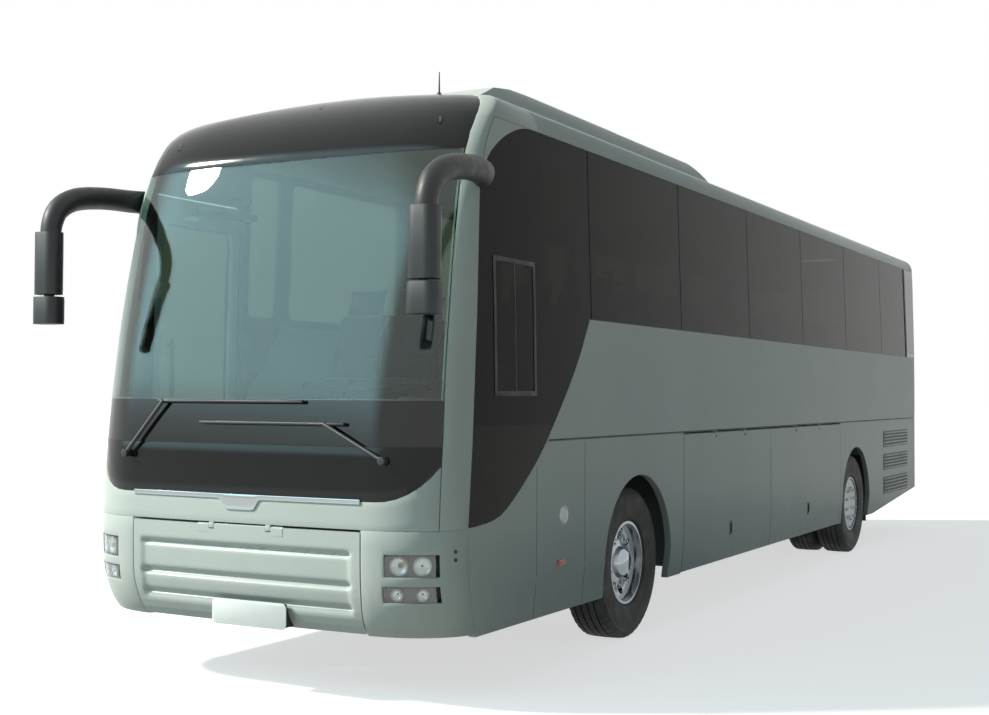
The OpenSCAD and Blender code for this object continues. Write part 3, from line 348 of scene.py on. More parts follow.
def bevel(bm, edges, radius, segments):
    bmesh.ops.bevel(bm, geom=edges, offset=radius, segments=segments, profile=0.5, affect="EDGES",
                    clamp_overlap=True, material=-1)


def round_edges(bm, radius, angle=32, segments=2):
    crisp = [e for e in bm.edges if len(e.link_faces) == 2 and e.calc_face_angle(0) > math.radians(angle)]
    bevel(bm, crisp, radius, segments)


def dress(node, mat, radius=0.0, flat=True, sharp=30):
    bm = merged(node)
    if flat:
        bmesh.ops.dissolve_limit(bm, angle_limit=math.radians(0.4), verts=bm.verts, edges=bm.edges)
    if radius:
        round_edges(bm, radius)
    piece = new_piece(node + "_skin", bm, mat, nodes[node]["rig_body"], sharp, even=flat)
    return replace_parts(piece, node)


for node in ("side_panel_left", "side_panel_right", "skirt_left", "skirt_right", "luggage_flap_left_front",
             "luggage_flap_left_rear", "luggage_flap_right_front", "luggage_flap_right_rear", "rear_wall",
             "engine_lid", "door_front", "door_middle", "roof_unit"):
    dress(node, lacquer, 0.004)
for node in ("roof", "nose_cap", "front_mask", "bumper"):
    dress(node, lacquer, 0.003, flat=False, sharp=25)
for node in ("front_header", "front_panel"):
    dress(node, gloss_black, 0.002, flat=False, sharp=25)
for node in ("window_frame_left", "window_frame_right"):
    dress(node, gloss_black, 0.002)
dress("windscreen", clear_glass, flat=False, sharp=25)
for node in ("glass_left", "glass_right", "rear_window", "door_glass_front", "door_glass_middle"):
    dress(node, dark_glass)
for node in ("chassis_rails", "cross_beams", "wheel_boxes", "front_axle", "rear_axle", "knuckle_left",
             "knuckle_right", "tie_rod", "door_columns", "door_arm_front", "door_arm_middle"):
    dress(node, chassis_paint, 0.003)
for node in ("passenger_floor", "stairs", "luggage_bay"):
    dress(node, floor_vinyl, 0.003)
dress("engine", cast_iron, 0.012)
dress("dashboard", dash_skin, 0.008)
dress("mirrors", grained_abs, 0.014, flat=False, sharp=50)
dress("wipers", grained_abs, 0.002, flat=False)
for node in ("rim_front_left", "rim_front_right"):
    dress(node, polished_steel, flat=False, sharp=40)
for node in ("rims_rear_left", "rims_rear_right"):
    dress(node, wheel_silver, flat=False, sharp=40)
dress("rear_lamps", red_lens, 0.004)

# %% [markdown]
# Trim lies on the body, so it needs to know where the body is. A patch is a grid of points that drops
# onto the panels under it from one side, and is then given a thickness outwards. Strips, plates, lenses,
# vents and seams are all patches; lumps are small rounded blocks and turned pieces come from a spun
# profile.

# %% tools for trim
STAND = Matrix.Rotation(math.radians(90), 4, "X")
surfaces = {}


def surface_of(node):
    if node not in surfaces:
        bm = merged(node)
        surfaces[node] = BVHTree.FromBMesh(bm)
        bm.free()
    return surfaces[node]


def drop(over, facing, across, z):
    side = UP.cross(facing)
    start = facing * 20 + Vector((abs(side.x), abs(side.y), 0)) * across + UP * z
    hits = [surface_of(node).ray_cast(start, -facing) for node in over]
    found = [hit for hit in hits if hit[0]]
    if not found:
        found = [surface_of(over[0]).find_nearest(start - facing * 16)]
    return min(found, key=lambda hit: hit[3])[:2]


def between(span, share):
    return span[0] + share * (span[1] - span[0])


def patch(bm, over, facing, across, up, steps, lift, depth, form=None):
    made = bmesh.ops.create_grid(bm, x_segments=steps[0], y_segments=steps[1], size=1)["verts"]
    reach = max(v.co.x for v in made)
    for vert in made:
        s, t = (vert.co.x / reach + 1) / 2, (vert.co.y / reach + 1) / 2
        if form:
            s, t = form(s, t)
        vert.co = drop(over, facing, between(across, s), between(up, t))[0] + facing * lift
    faces = list({face for vert in made for face in vert.link_faces})
    raised = bmesh.ops.extrude_face_region(bm, geom=faces)["geom"]
    top = [v for v in raised if isinstance(v, bmesh.types.BMVert)]
    bmesh.ops.translate(bm, verts=top, vec=facing * depth)
    bmesh.ops.recalc_face_normals(bm, faces=bm.faces)
    return top


def lump(bm, centre, size, turn=Matrix.Identity(4)):
    place = Matrix.Translation(centre) @ turn @ Matrix.Diagonal((*size, 1))
    bmesh.ops.create_cube(bm, size=1, matrix=place)


def spun(bm, profile, steps, matrix=Matrix.Identity(4), closed=False):
    ring = [bm.verts.new((radius, axial, 0)) for radius, axial in profile]
    edges = [bm.edges.new(pair) for pair in zip(ring, ring[1:])]
    if closed:
        edges.append(bm.edges.new((ring[-1], ring[0])))
    before = set(bm.verts) - set(ring)
    bmesh.ops.spin(bm, geom=ring + edges, cent=(0, 0, 0), axis=(0, 1, 0), dvec=(0, 0, 0), angle=math.tau,
                   steps=steps, use_merge=True)
    made = [v for v in bm.verts if v not in before]
    bmesh.ops.transform(bm, matrix=matrix, verts=made)
    return made


def facing_matrix(point, normal):
    return Matrix.Translation(point) @ normal.to_track_quat("Z", "Y").to_matrix().to_4x4()


def finish_trim(name, bm, mat, radius=0.0015, body=BODY, sharp=35):
    if radius:
        round_edges(bm, radius)
    bmesh.ops.recalc_face_normals(bm, faces=bm.faces)
    return new_piece(name, bm, mat, body, sharp)


print("tools for trim ready")

# %% [markdown]
# The front flap carries the grille. Its copy is cut finely and the outside is pressed in: three long
# grooves divide it into two slats, which lie a little deeper than the rim. The grooves fade out near the
# ends, so the flap keeps a plain rim.

# %% front flap with slats
GROOVES = [(0.822, 0.016, 0.022), (0.652, 0.018, 0.026), (0.520, 0.024, 0.018)]
SLAT_HALF = 0.73
END_FADE = 0.035


def bell(distance, width):
    return math.exp(-(distance / width) ** 2)


def pressed_in(y, z):
    inside = 1 / (1 + math.exp((abs(y) - SLAT_HALF) / END_FADE * 5))
    grooves = sum(depth * bell(z - at, width) for at, width, depth in GROOVES)
    recess = 0.010 if GROOVES[-1][0] < z < GROOVES[0][0] else 0.0
    return inside * (grooves + recess)


def front_flap():
    bm = merged("front_flap")
    outer = [f for f in bm.faces if f.normal.x > 0.45 and abs(f.calc_center_median().y) < 0.80]
    edges = list({edge for face in outer for edge in face.edges})
    bmesh.ops.subdivide_edges(bm, edges=edges, cuts=9, use_grid_fill=True)
    bm.normal_update()
    for vert in bm.verts:
        if vert.normal.x > 0.45:
            vert.co.x -= pressed_in(vert.co.y, vert.co.z)
    piece = new_piece("front_flap_skin", bm, lacquer, nodes["front_flap"]["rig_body"], 40)
    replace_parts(piece, "front_flap")


front_flap()
print("front flap: two slats between", len(GROOVES), "grooves")

# %% [markdown]
# Headlamps are lenses over a lined box. The solid lamp gives the outer surface, and its walls, without
# the front, the dark tray. Behind a thin lens lie bright bowls, with an amber bulb in the inner bowl of
# the upper lamp.

# %% headlamps
LAMPS = [(0.335, 0.075, 0.712, 0.832, (0.30, 0.72)), (0.345, 0.075, 0.575, 0.662, (0.27, 0.72))]
TRAY_WALL, TRAY_SHIFT = 0.002, (-0.022, 0.016)
BOWL_DEEP, BOWL_RIM = 0.026, 0.008
BULB = [(0.0005, 0.021), (0.008, 0.018), (0.011, 0.012), (0.009, 0.003)]


def headlamps():
    glass, tray, bowls, bulbs = bmesh.new(), merged("headlamps"), bmesh.new(), bmesh.new()
    bmesh.ops.delete(tray, geom=[f for f in tray.faces if f.normal.x > 0.3], context="FACES")
    bmesh.ops.solidify(tray, geom=tray.faces[:], thickness=TRAY_WALL)
    for vert in tray.verts:
        if abs(vert.co.y) > HALF_W - 0.12:
            vert.co += Vector((TRAY_SHIFT[0], math.copysign(TRAY_SHIFT[1], vert.co.y), 0))
    for side in (1, -1):
        for inner, outer, low, high, places in LAMPS:
            across = (side * (HALF_W - inner), side * (HALF_W - outer))
            inset = (across[0] + side * 0.001, across[1] - side * 0.001)
            patch(glass, ["headlamps"], FRONT, inset, (low + 0.001, high - 0.001), (14, 8), -0.002, 0.005)
            for share in places:
                size = (high - low) / 2 - BOWL_RIM
                point, normal = drop(["headlamps"], FRONT, between(across, share), (low + high) / 2)
                seat = facing_matrix(point - normal * BOWL_DEEP, normal) @ STAND
                spun(bowls, [(size, 0.022), (size * 0.97, 0.019), (size * 0.7, 0.008), (size * 0.35, 0.002),
                             (0.006, 0.0005)], 32, seat)
                if share < 0.5 and high > 0.7:
                    spun(bulbs, BULB, 20, seat)
    cover = finish_trim("headlamp_lenses", glass, clear_lens, 0.001)
    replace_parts(cover, "headlamps")
    finish_trim("headlamp_trays", tray, grained_abs, 0.0)
    finish_trim("headlamp_bowls", bowls, reflector, 0.0)
    finish_trim("headlamp_bulbs", bulbs, amber_lens, 0.0)


headlamps()
print("headlamps:", 2 * len(LAMPS))

# %% [markdown]
# Across the nose runs a bright strip with a plain wider piece in the middle, and below the grille sits a
# blank number plate, upright on a dark wedge. Small caps hide the flap's hinges, and two round sensors
# sit on each bumper corner.

# %% nose trim
STRIP_HALF, STRIP_LOW, STRIP_TOP = 0.80, 1.032, 1.119
STRIP_RISE, BADGE_HALF = 0.026, 0.12
PLATE_Y, PLATE_HALF, PLATE_Z, PLATE_RISE = 0.06, 0.26, 0.455, 0.072


def strip_form(s, t):
    y = abs(s - 0.5) * 2 * STRIP_HALF
    share = STRIP_RISE / (STRIP_TOP - STRIP_LOW)
    hang = share + (1 - share) / (1 + math.exp((y - BADGE_HALF) / 0.008))
    return s, 1 - (1 - t) * hang


def rounded_plate(bm, centre, size, radius):
    lump(bm, centre, size)
    across = [e for e in bm.edges if abs((e.verts[0].co - e.verts[1].co).normalized().x) > 0.99]
    bevel(bm, across, radius, 5)


HINGE_COVERS, HINGE_COVER_X, HINGE_COVER_Z = (-0.2, 0.2), 2.7572, (0.9225, 0.9555)
HOLDER_INSET, PLATE_PROUD, PLATE_CORNER = 0.012, 0.010, 0.03
SENSOR = [(0.0005, 0.004), (0.010, 0.003), (0.013, -0.002)]
SENSOR_IN, SENSOR_Z = 0.022, (0.80, 0.845)


def nose_trim():
    strip = bmesh.new()
    patch(strip, ["front_mask", "front_panel"], FRONT, (-STRIP_HALF, STRIP_HALF), (STRIP_LOW, STRIP_TOP),
          (120, 4), 0.0, 0.008, strip_form)
    finish_trim("nose_strip", strip, chrome, 0.002)
    holder, plate, dots = bmesh.new(), bmesh.new(), bmesh.new()
    flap = nodes["front_flap"]["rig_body"]
    face = drop(["front_flap"], FRONT, PLATE_Y, PLATE_Z + PLATE_RISE)[0].x + PLATE_PROUD
    wide = (PLATE_Y - PLATE_HALF + HOLDER_INSET, PLATE_Y + PLATE_HALF - HOLDER_INSET)
    tall = (PLATE_Z - PLATE_RISE + 0.010, PLATE_Z + PLATE_RISE - 0.004)
    for vert in patch(holder, ["front_flap"], FRONT, wide, tall, (12, 8), -0.004, 0.012):
        vert.co.x = face
    rounded_plate(plate, Vector((face + 0.002, PLATE_Y, PLATE_Z)), (0.006, 2 * PLATE_HALF, 2 * PLATE_RISE),
                  PLATE_CORNER)
    finish_trim("plate_holder", holder, seal_rubber, 0.003, flap)
    finish_trim("number_plate_blank", plate, plate_white, 0.002, flap)
    for side in (1, -1):
        for z in SENSOR_Z:
            point, normal = drop(["bumper"], FRONT, side * (HALF_W - SENSOR_IN), z)
            spun(dots, SENSOR, 20, facing_matrix(point, normal) @ STAND)
    covers = bmesh.new()
    low, high = HINGE_COVER_Z
    for y in HINGE_COVERS:
        lump(covers, Vector((ahead(HINGE_COVER_X), y, (low + high) / 2)), (0.003, 0.034, high - low))
    finish_trim("nose_hinge_covers", covers, lacquer, 0.0008)
    finish_trim("corner_sensors", dots, seal_rubber, 0.0)


nose_trim()
print("nose trim: strip, plate and sensors")

# %% [markdown]
# The sides carry a dark gasket along the rub line, fine vertical panel seams, pull handles on the luggage
# flaps, a round filler lid, a red marker and, behind the rear wheels, three louvred vents. The vents and
# the seams are the same on both sides; the door side has no filler. A painted arch rounds off the front
# upper corner of the side glass and a dark pane closes the rear quarter. Rubber mud flaps behind each
# pair of rear wheels and a rubber shield across the front wheel arch ahead of the tyre are dark sheets of
# painted shade: they stand in for the shade under the coach. The arch ends where the glazing ends, which
# is found by probing.

# %% side trim
SEAMS = [1.585, 0.909]
VENTS = [(1.09, 1.275), (0.825, 1.008), (0.548, 0.743)]
VENT_SPAN = (-8.62, -7.32)
SLATS = 5
RUB_Z = 1.411
TAIL_EDGE, SWOOSH_EDGE = -8.95, 1.43
DOOR_SIDE = [(TAIL_EDGE, -4.98), (-4.12, 1.27)]


def side_trim(name, facing):
    side = facing.y
    skirt, panel = "skirt_" + name, "side_panel_" + name
    gasket, lines, grille, slats = bmesh.new(), bmesh.new(), bmesh.new(), bmesh.new()
    for x0, x1 in DOOR_SIDE if side < 0 else [(TAIL_EDGE, SWOOSH_EDGE)]:
        patch(gasket, [panel], facing, (ahead(x0), ahead(x1)), (RUB_Z - 0.005, RUB_Z + 0.005), (24, 2),
              -0.001, 0.005)
    for x in SEAMS:
        if side > 0 or x < 1.2:
            tall = (0.37, 1.39 if x < 1.4 else 1.26)
            patch(lines, [skirt], facing, (ahead(x) - 0.002, ahead(x) + 0.002), tall, (1, 14), -0.001, 0.0016)
    for low, high in VENTS:
        across = (ahead(VENT_SPAN[0]), ahead(VENT_SPAN[1]))
        patch(grille, [skirt], facing, across, (low, high), (6, 4), -0.002, 0.003)
        for i in range(SLATS):
            z = low + (high - low) * (i + 0.5) / SLATS
            patch(slats, [skirt], facing, (across[0] + 0.012, across[1] - 0.012), (z - 0.010, z + 0.007),
                  (8, 2), 0.001, 0.006)
    finish_trim("rub_gasket_" + name, gasket, seal_rubber, 0.0015)
    finish_trim("panel_seams_" + name, lines, seal_rubber, 0.0)
    finish_trim("vent_backs_" + name, grille, seal_rubber, 0.0)
    finish_trim("vent_slats_" + name, slats, lacquer, 0.002)


HANDLE_Z = (0.55, 0.665)
HINGE_CAP_Z, HINGE_CAP = 1.3805, (0.034, 0.003, 0.032)


def flap_handles():
    caps = bmesh.new()
    for node in ("luggage_flap_left_front", "luggage_flap_left_rear", "luggage_flap_right_front",
                 "luggage_flap_right_rear"):
        at = middle(node)
        facing = LEFT if at.y > 0 else RIGHT
        cup, pull = bmesh.new(), bmesh.new()
        patch(cup, [node], facing, (at.x - 0.03, at.x + 0.03), HANDLE_Z, (4, 4), -0.001, 0.0025)
        patch(pull, [node], facing, (at.x - 0.008, at.x + 0.008), (HANDLE_Z[0] + 0.02, HANDLE_Z[1] - 0.02),
              (2, 4), 0.001, 0.010)
        body = nodes[node]["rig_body"]
        low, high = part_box(node)
        for share in (1 / 3, 2 / 3):
            x = low[0] + share * (high[0] - low[0])
            lump(caps, Vector((x, facing.y * (HALF_W - 0.002), HINGE_CAP_Z)), HINGE_CAP)
        finish_trim("handle_cup_" + node, cup, seal_rubber, 0.001, body)
        finish_trim("handle_pull_" + node, pull, grained_abs, 0.003, body)
    finish_trim("luggage_hinge_caps", caps, lacquer, 0.0008)


MARKER_X, MARKER_Z = 1.26, 0.66
FILLER_X, FILLER_Z = 1.217, 0.948
FILLER_LID = [(0.0005, 0.003), (0.044, 0.003), (0.047, 0.0), (0.050, 0.0), (0.053, 0.004), (0.058, 0.004),
              (0.060, -0.002)]


def marker_and_filler():
    red, ring = bmesh.new(), bmesh.new()
    patch(red, ["skirt_left"], LEFT, (ahead(MARKER_X) - 0.045, ahead(MARKER_X) + 0.045),
          (MARKER_Z - 0.018, MARKER_Z + 0.018), (6, 4), 0.0, 0.010)
    point, normal = drop(["skirt_left"], LEFT, ahead(FILLER_X), FILLER_Z)
    spun(ring, FILLER_LID, 40, facing_matrix(point, normal) @ STAND)
    finish_trim("side_marker_red", red, red_lens, 0.004)
    finish_trim("filler_lid", ring, wheel_silver, 0.0)


ARCH_REAR, ARCH_LONG, ARCH_TOP, ARCH_TALL = 1.585, 0.59, 3.264, 0.39
QUARTER_X, QUARTER_Z = (-9.195, -8.60), (2.172, 3.262)
# dark rubber sheets of painted shade: flaps behind the rear wheels and a shield across the front arch, where
# the shade under the coach falls
SHADE_FLAP_X, SHADE_FLAP_Z = -0.60, (0.29, 1.02)
SHADE_SHIELD_X, SHADE_SHIELD_Z = 0.755, (0.40, 1.0)
FLAP_THICK, FLAP_INSET = 0.012, 0.045


def front_edge(over, facing, z):
    glazed, clear = ahead(ARCH_REAR), ahead(ARCH_REAR + 2 * ARCH_LONG)
    while clear - glazed > 0.0002:
        x = (glazed + clear) / 2
        if any(surface_of(node).ray_cast(facing * 20 + Vector((x, 0, z)), -facing)[0] for node in over):
            glazed = x
        else:
            clear = x
    return glazed


def window_arch(over, facing):
    def form(s, t):
        angle = s * math.pi / 2
        out = 1 + t * (1 / max(math.sin(angle), math.cos(angle)) - 1)
        up = math.cos(angle) * out
        reach = front_edge(over, facing, ARCH_TOP - ARCH_TALL * (1 - up)) - ahead(ARCH_REAR)
        return math.sin(angle) * out * reach / ARCH_LONG, up
    return form


def upper_sides():
    arch, quarter, rubber = bmesh.new(), bmesh.new(), bmesh.new()
    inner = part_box("wheel_boxes")[1][1]
    for facing, name in ((LEFT, "left"), (RIGHT, "right")):
        dark = ["glass_" + name, "window_frame_" + name]
        patch(arch, dark, facing, (ahead(ARCH_REAR), ahead(ARCH_REAR + ARCH_LONG)),
              (ARCH_TOP - ARCH_TALL, ARCH_TOP), (32, 8), -0.001, 0.003, window_arch(dark, facing))
        patch(quarter, ["rear_wall", "side_panel_" + name] + dark, facing,
              (ahead(QUARTER_X[0]), ahead(QUARTER_X[1])), QUARTER_Z, (36, 8), -0.001, 0.005)
        wide = HALF_W - FLAP_INSET - inner
        # each sheet is a dark slab that stands in for the shade under the coach (painted shade)
        for x, tall in ((REAR_WHEEL.x + SHADE_FLAP_X, SHADE_FLAP_Z), (ahead(SHADE_SHIELD_X), SHADE_SHIELD_Z)):
            lump(rubber, Vector((x, facing.y * (inner + wide / 2), sum(tall) / 2)),
                 (FLAP_THICK, wide, tall[1] - tall[0]))
    finish_trim("window_arches", arch, lacquer, 0.001)
    finish_trim("rear_quarter_panes", quarter, gloss_black, 0.001)
    # the mud flaps and the arch shield: dark rubber that stands in for the shade under the coach
    finish_trim("painted_shade_flaps", rubber, seal_rubber, 0.003)


side_trim("left", LEFT)
side_trim("right", RIGHT)
flap_handles()
marker_and_filler()
upper_sides()
print("side trim: gaskets, seams, vents, handles, marker and filler")

# %% [markdown]
# Windows get what holds them: a slim rubber frame round the driver's sliding pane, seals round the door
# glass and bright pull bars on the doors.

# %% window and door trim
DRIVER_PANE = (1.60, 2.09, 1.69, 2.455)
BAR_THICK, BAR_LONG, BAR_FEET = 0.028, 0.9, (-0.40, 0.40)


def frame_strips(bm, over, facing, x0, x1, z0, z1, width, lift, depth):
    for x in (x0, x1):
        patch(bm, over, facing, (x - width, x + width), (z0 - width, z1 + width), (1, 10), lift, depth)
    for z in (z0, z1):
        patch(bm, over, facing, (x0 + width, x1 - width), (z - width, z + width), (8, 1), lift, depth)


def window_trim():
    x0, x1, z0, z1 = DRIVER_PANE
    rubber = bmesh.new()
    frame_strips(rubber, ["glass_left"], LEFT, ahead(x0), ahead(x1), z0, z1, 0.014, -0.001, 0.005)
    half = ahead((x0 + x1) / 2)
    frame_strips(rubber, ["glass_left"], LEFT, ahead(x0), half, z0, z1, 0.006, -0.001, 0.003)
    finish_trim("driver_window_frame", rubber, seal_rubber, 0.0015)
    for door, glass in (("door_front", "door_glass_front"), ("door_middle", "door_glass_middle")):
        low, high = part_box(glass)
        seal, bar = bmesh.new(), bmesh.new()
        frame_strips(seal, [door, glass], RIGHT, low[0], high[0], low[2], high[2], 0.014, -0.001, 0.005)
        at = Vector((high[0] - 0.06, low[1] + 0.10, (low[2] + high[2]) / 2 - 0.3))
        lump(bar, at, (BAR_THICK, BAR_THICK, BAR_LONG))
        for z in BAR_FEET:
            lump(bar, at + Vector((0.0, -0.045, z)), (0.022, 0.09, 0.022))
        body = nodes[door]["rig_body"]
        finish_trim(door + "_seal", seal, seal_rubber, 0.0015, body)
        finish_trim(door + "_pull_bar", bar, polished_steel, 0.009, body)


window_trim()
print("window trim: driver's pane and two doors")

# %% [markdown]
# Mirrors look back: each head has a silvered glass in its rear face, set in a thin bezel. Three marker
# lamps sit on the header, and a short aerial stands on the nose moulding. The roof housing has round fan
# grilles.

# %% mirrors and roof trim
MIRROR_HEADS = [(-0.032, 0.112, 2.292, 2.616), (-0.038, 0.118, 2.108, 2.238)]
HEADER_LAMPS = [(0.96, 3.24), (-0.96, 3.24), (0.0, 3.44)]
AERIAL = (1.70, 0.656)
MAST = [(0.026, -0.004), (0.024, 0.010), (0.010, 0.022), (0.006, 0.030), (0.003, 0.15), (0.0005, 0.152)]
FANS, FAN_RINGS = [-2.2, -1.2, -0.2], (0.10, 0.17, 0.24, 0.31)


def mirror_glass():
    glass, bezel = bmesh.new(), bmesh.new()
    for side in (1, -1):
        for inner, outer, low, high in MIRROR_HEADS:
            across = (side * (HALF_W + inner), side * (HALF_W + outer))
            rim = (across[0] - side * 0.006, across[1] + side * 0.006)
            patch(bezel, ["mirrors"], REAR, rim, (low - 0.006, high + 0.006), (2, 2), -0.002, 0.003)
            patch(glass, ["mirrors"], REAR, across, (low, high), (4, 6), 0.0, 0.0025)
    finish_trim("mirror_bezels", bezel, seal_rubber, 0.001)
    finish_trim("mirror_glasses", glass, mirror_silver, 0.001)


def roof_trim():
    lamps, mast, fans = bmesh.new(), bmesh.new(), bmesh.new()
    for y, z in HEADER_LAMPS:
        point, normal = drop(["front_header"], FRONT, y, z)
        lump(lamps, point, (0.018, 0.05, 0.016), facing_matrix(Vector(), normal))
    point = surface_of("nose_cap").ray_cast(Vector((ahead(AERIAL[0]), AERIAL[1], 10)), -UP)[0]
    spun(mast, MAST, 20, Matrix.Translation(point) @ STAND)
    for x in FANS:
        top = surface_of("roof_unit").ray_cast(Vector((ahead(x), 0, 10)), -UP)[0]
        for radius in FAN_RINGS:
            spun(fans, [(radius - 0.008, -0.002), (radius - 0.008, 0.004), (radius + 0.008, 0.004),
                        (radius + 0.008, -0.002)], 48, Matrix.Translation(top) @ STAND, closed=True)
        for k in range(6):
            spoke = Matrix.Rotation(k * math.tau / 12, 4, "Z")
            lump(fans, top, (0.62, 0.012, 0.006), spoke)
    finish_trim("header_lamps", lamps, clear_lens, 0.004)
    finish_trim("roof_aerial", mast, grained_abs, 0.0)
    finish_trim("roof_fan_grilles", fans, grained_abs, 0.0)


mirror_glass()
roof_trim()
print("mirrors and roof trim: done")

# %% [markdown]
# The tail gets round lamps in bright bezels on each lamp strip, and a blank plate and a pull handle on the
# lid.

# %% tail trim
TAIL_LAMPS = [0.84, 1.00, 1.16, 1.32]
TAIL_LAMP_Y = 0.99
BEZEL = [(0.058, -0.002), (0.058, 0.003), (0.068, 0.003), (0.068, -0.002)]
DOME = [(0.0005, 0.0035), (0.030, 0.003), (0.050, 0.001), (0.057, -0.002)]
TAIL_PLATE_Z, TAIL_PLATE_RISE, LID_PULL_Z = 0.79, 0.056, 1.36
ABOUT_FACE = Matrix.Rotation(math.radians(90), 4, "Z")


def tail_trim():
    rings, domes, plate, pull = bmesh.new(), bmesh.new(), bmesh.new(), bmesh.new()
    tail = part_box("rear_lamps")[0][0]
    for side in (1, -1):
        for z in TAIL_LAMPS:
            turn = Matrix.Translation((tail, side * TAIL_LAMP_Y, z)) @ ABOUT_FACE
            spun(rings, BEZEL, 36, turn, closed=True)
            spun(domes, DOME, 36, turn)
    patch(plate, ["engine_lid"], REAR, (-PLATE_HALF, PLATE_HALF),
          (TAIL_PLATE_Z - TAIL_PLATE_RISE, TAIL_PLATE_Z + TAIL_PLATE_RISE), (4, 2), -0.002, 0.005)
    lid_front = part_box("engine_lid")[0][0]
    lump(pull, Vector((lid_front + 0.004, 0.0, LID_PULL_Z)), (0.022, 0.22, 0.03))
    lid = nodes["engine_lid"]["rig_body"]
    finish_trim("tail_lamp_bezels", rings, chrome, 0.0)
    finish_trim("tail_lamp_domes", domes, red_lens, 0.0)
    finish_trim("rear_plate_blank", plate, plate_white, 0.002, lid)
    finish_trim("lid_pull", pull, grained_abs, 0.008, lid)


tail_trim()
print("tail trim: lamps, plate and pull")

# %% [markdown]
# Tyres are spun from a section with a bead, a ribbed sidewall, a rounded shoulder and a crown with four
# grooves. Every third step of the spin is pressed in at the shoulders, which makes the lugs. The rims get
# their nuts.

# %% wheels
TYRE_STEPS = 144
HALF_TYRE = [(0.2875, 0.108), (0.300, 0.128), (0.318, 0.134), (0.330, 0.1325), (0.360, 0.141),
             (0.406, 0.1448), (0.450, 0.1435), (0.470, 0.1405), (0.474, 0.1422), (0.492, 0.1335),
             (0.508, 0.122), (0.5165, 0.112), (0.519, 0.100), (0.520, 0.080), (0.508, 0.0785),
             (0.508, 0.0715), (0.5205, 0.070), (0.5215, 0.030), (0.509, 0.0285), (0.509, 0.0215),
             (0.5218, 0.020)]
LUG_FROM, LUG_FOOT, LUG_DEPTH = 0.088, 0.49, 0.009
NUT_RING, NUTS = 0.1675, 10
NUT_PARTS = [(6, 0.0165, 0.0155, 0.026, 0.008), (16, 0.024, 0.019, 0.008, 0.0),
             (10, 0.009, 0.008, 0.016, 0.027)]


def tyre(bm, y):
    section = HALF_TYRE + [(radius, -axial) for radius, axial in reversed(HALF_TYRE)]
    made = spun(bm, section, TYRE_STEPS, closed=True)
    for vert in made:
        step = round(math.atan2(vert.co.z, vert.co.x) / math.tau * TYRE_STEPS)
        radius = math.hypot(vert.co.x, vert.co.z)
        if step % 3 == 0 and abs(vert.co.y) > LUG_FROM and radius > LUG_FOOT:
            vert.co.x *= 1 - LUG_DEPTH / radius
            vert.co.z *= 1 - LUG_DEPTH / radius
    bmesh.ops.translate(bm, verts=made, vec=(0, y, 0))


def tyres(node, centres):
    bm = bmesh.new()
    at = middle(node)
    for y in centres:
        tyre(bm, y)
    bmesh.ops.translate(bm, verts=bm.verts, vec=(at.x, 0, at.z))
    bmesh.ops.recalc_face_normals(bm, faces=bm.faces)
    piece = new_piece(node + "_tread", bm, tyre_rubber, nodes[node]["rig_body"], 38)
    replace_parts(piece, node)


def wheel_nuts(name, rim, axial, side):
    at = middle(rim)
    bm = bmesh.new()
    for k in range(NUTS):
        angle = (k + 0.5) * math.tau / NUTS
        spot = Vector((at.x + NUT_RING * math.cos(angle), side * axial, at.z + NUT_RING * math.sin(angle)))
        turn = facing_matrix(spot, LEFT * side)
        for sides, foot, top, tall, out in NUT_PARTS:
            bmesh.ops.create_cone(bm, segments=sides, radius1=foot, radius2=top, depth=tall, cap_ends=True,
                                  matrix=turn @ Matrix.Translation((0, 0, out)))
    finish_trim(name, bm, chrome, 0.0012, nodes[rim]["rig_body"])


FRONT_TYRE_Y, REAR_TYRE_Y, TWIN = FRONT_WHEEL.y, 1.090, 0.335
for side, name in ((1, "left"), (-1, "right")):
    tyres("tyre_front_" + name, [side * FRONT_TYRE_Y])
    tyres("tyres_rear_" + name, [side * REAR_TYRE_Y, side * (REAR_TYRE_Y - TWIN)])
    wheel_nuts("nuts_front_" + name, "rim_front_" + name, FRONT_TYRE_Y + 0.045, side)
    wheel_nuts("nuts_rear_" + name, "rims_rear_" + name, REAR_TYRE_Y + 0.107, side)
print("wheels: six tyres,", 4 * NUTS, "nuts")

# %% [markdown]
# Seats are padded: a crowned cushion, a bolstered back with sewn channels and a separate head pad. One
# seat is shaped from subdivided blocks and then copied to every place; the crown and the channels are
# pressed by a formula, because forty cloth simulations would take far longer than the light they catch
# through dark glass. Legs and arm rests are metal and moulded.

# %% seats
DECK_Z, CAB_Z = 1.360, 0.950
ROWS, ROW_PITCH, FIRST_ROW, BENCH_Y, SEAT_SPACING = 11, 0.800, 0.250, 0.690, 0.435
STAIR_ROWS = (5, 6, 7)
DRIVER_AT = (1.100, 0.620)
CHANNELS = (-0.33, 0.33)


def pad(size, crown, matrix, cuts=11):
    bm = bmesh.new()
    bmesh.ops.create_cube(bm, size=2)
    bmesh.ops.subdivide_edges(bm, edges=bm.edges, cuts=cuts, use_grid_fill=True)
    for vert in bm.verts:
        x, y, z = vert.co
        edge = max(abs(x), abs(y))
        swell = 1 - 0.55 * edge ** 8
        channel = sum(bell(y - at, 0.045) for at in CHANNELS)
        sewn = 0.10 * channel if z > 0.9 else 0
        vert.co.z = z * swell * (1 - crown) + z * crown * (1 - x * x) * (1 - y * y) - sewn
        vert.co.x = x * (1 - 0.06 * (1 - y * y) * abs(x) - 0.03 * y * y * abs(x))
        vert.co.y = y * (1 - 0.05 * (1 - x * x) * abs(y) - 0.10 * z * z * abs(y) ** 3)
    bmesh.ops.transform(bm, matrix=matrix @ Matrix.Diagonal((*[s / 2 for s in size], 1)), verts=bm.verts)
    return bm


def copy_to(target, source, places):
    mesh = bpy.data.meshes.new("pattern")
    source.to_mesh(mesh)
    source.free()
    for place in places:
        before = set(target.verts)
        target.from_mesh(mesh)
        bmesh.ops.translate(target, verts=[v for v in target.verts if v not in before], vec=place)
    bpy.data.meshes.remove(mesh)


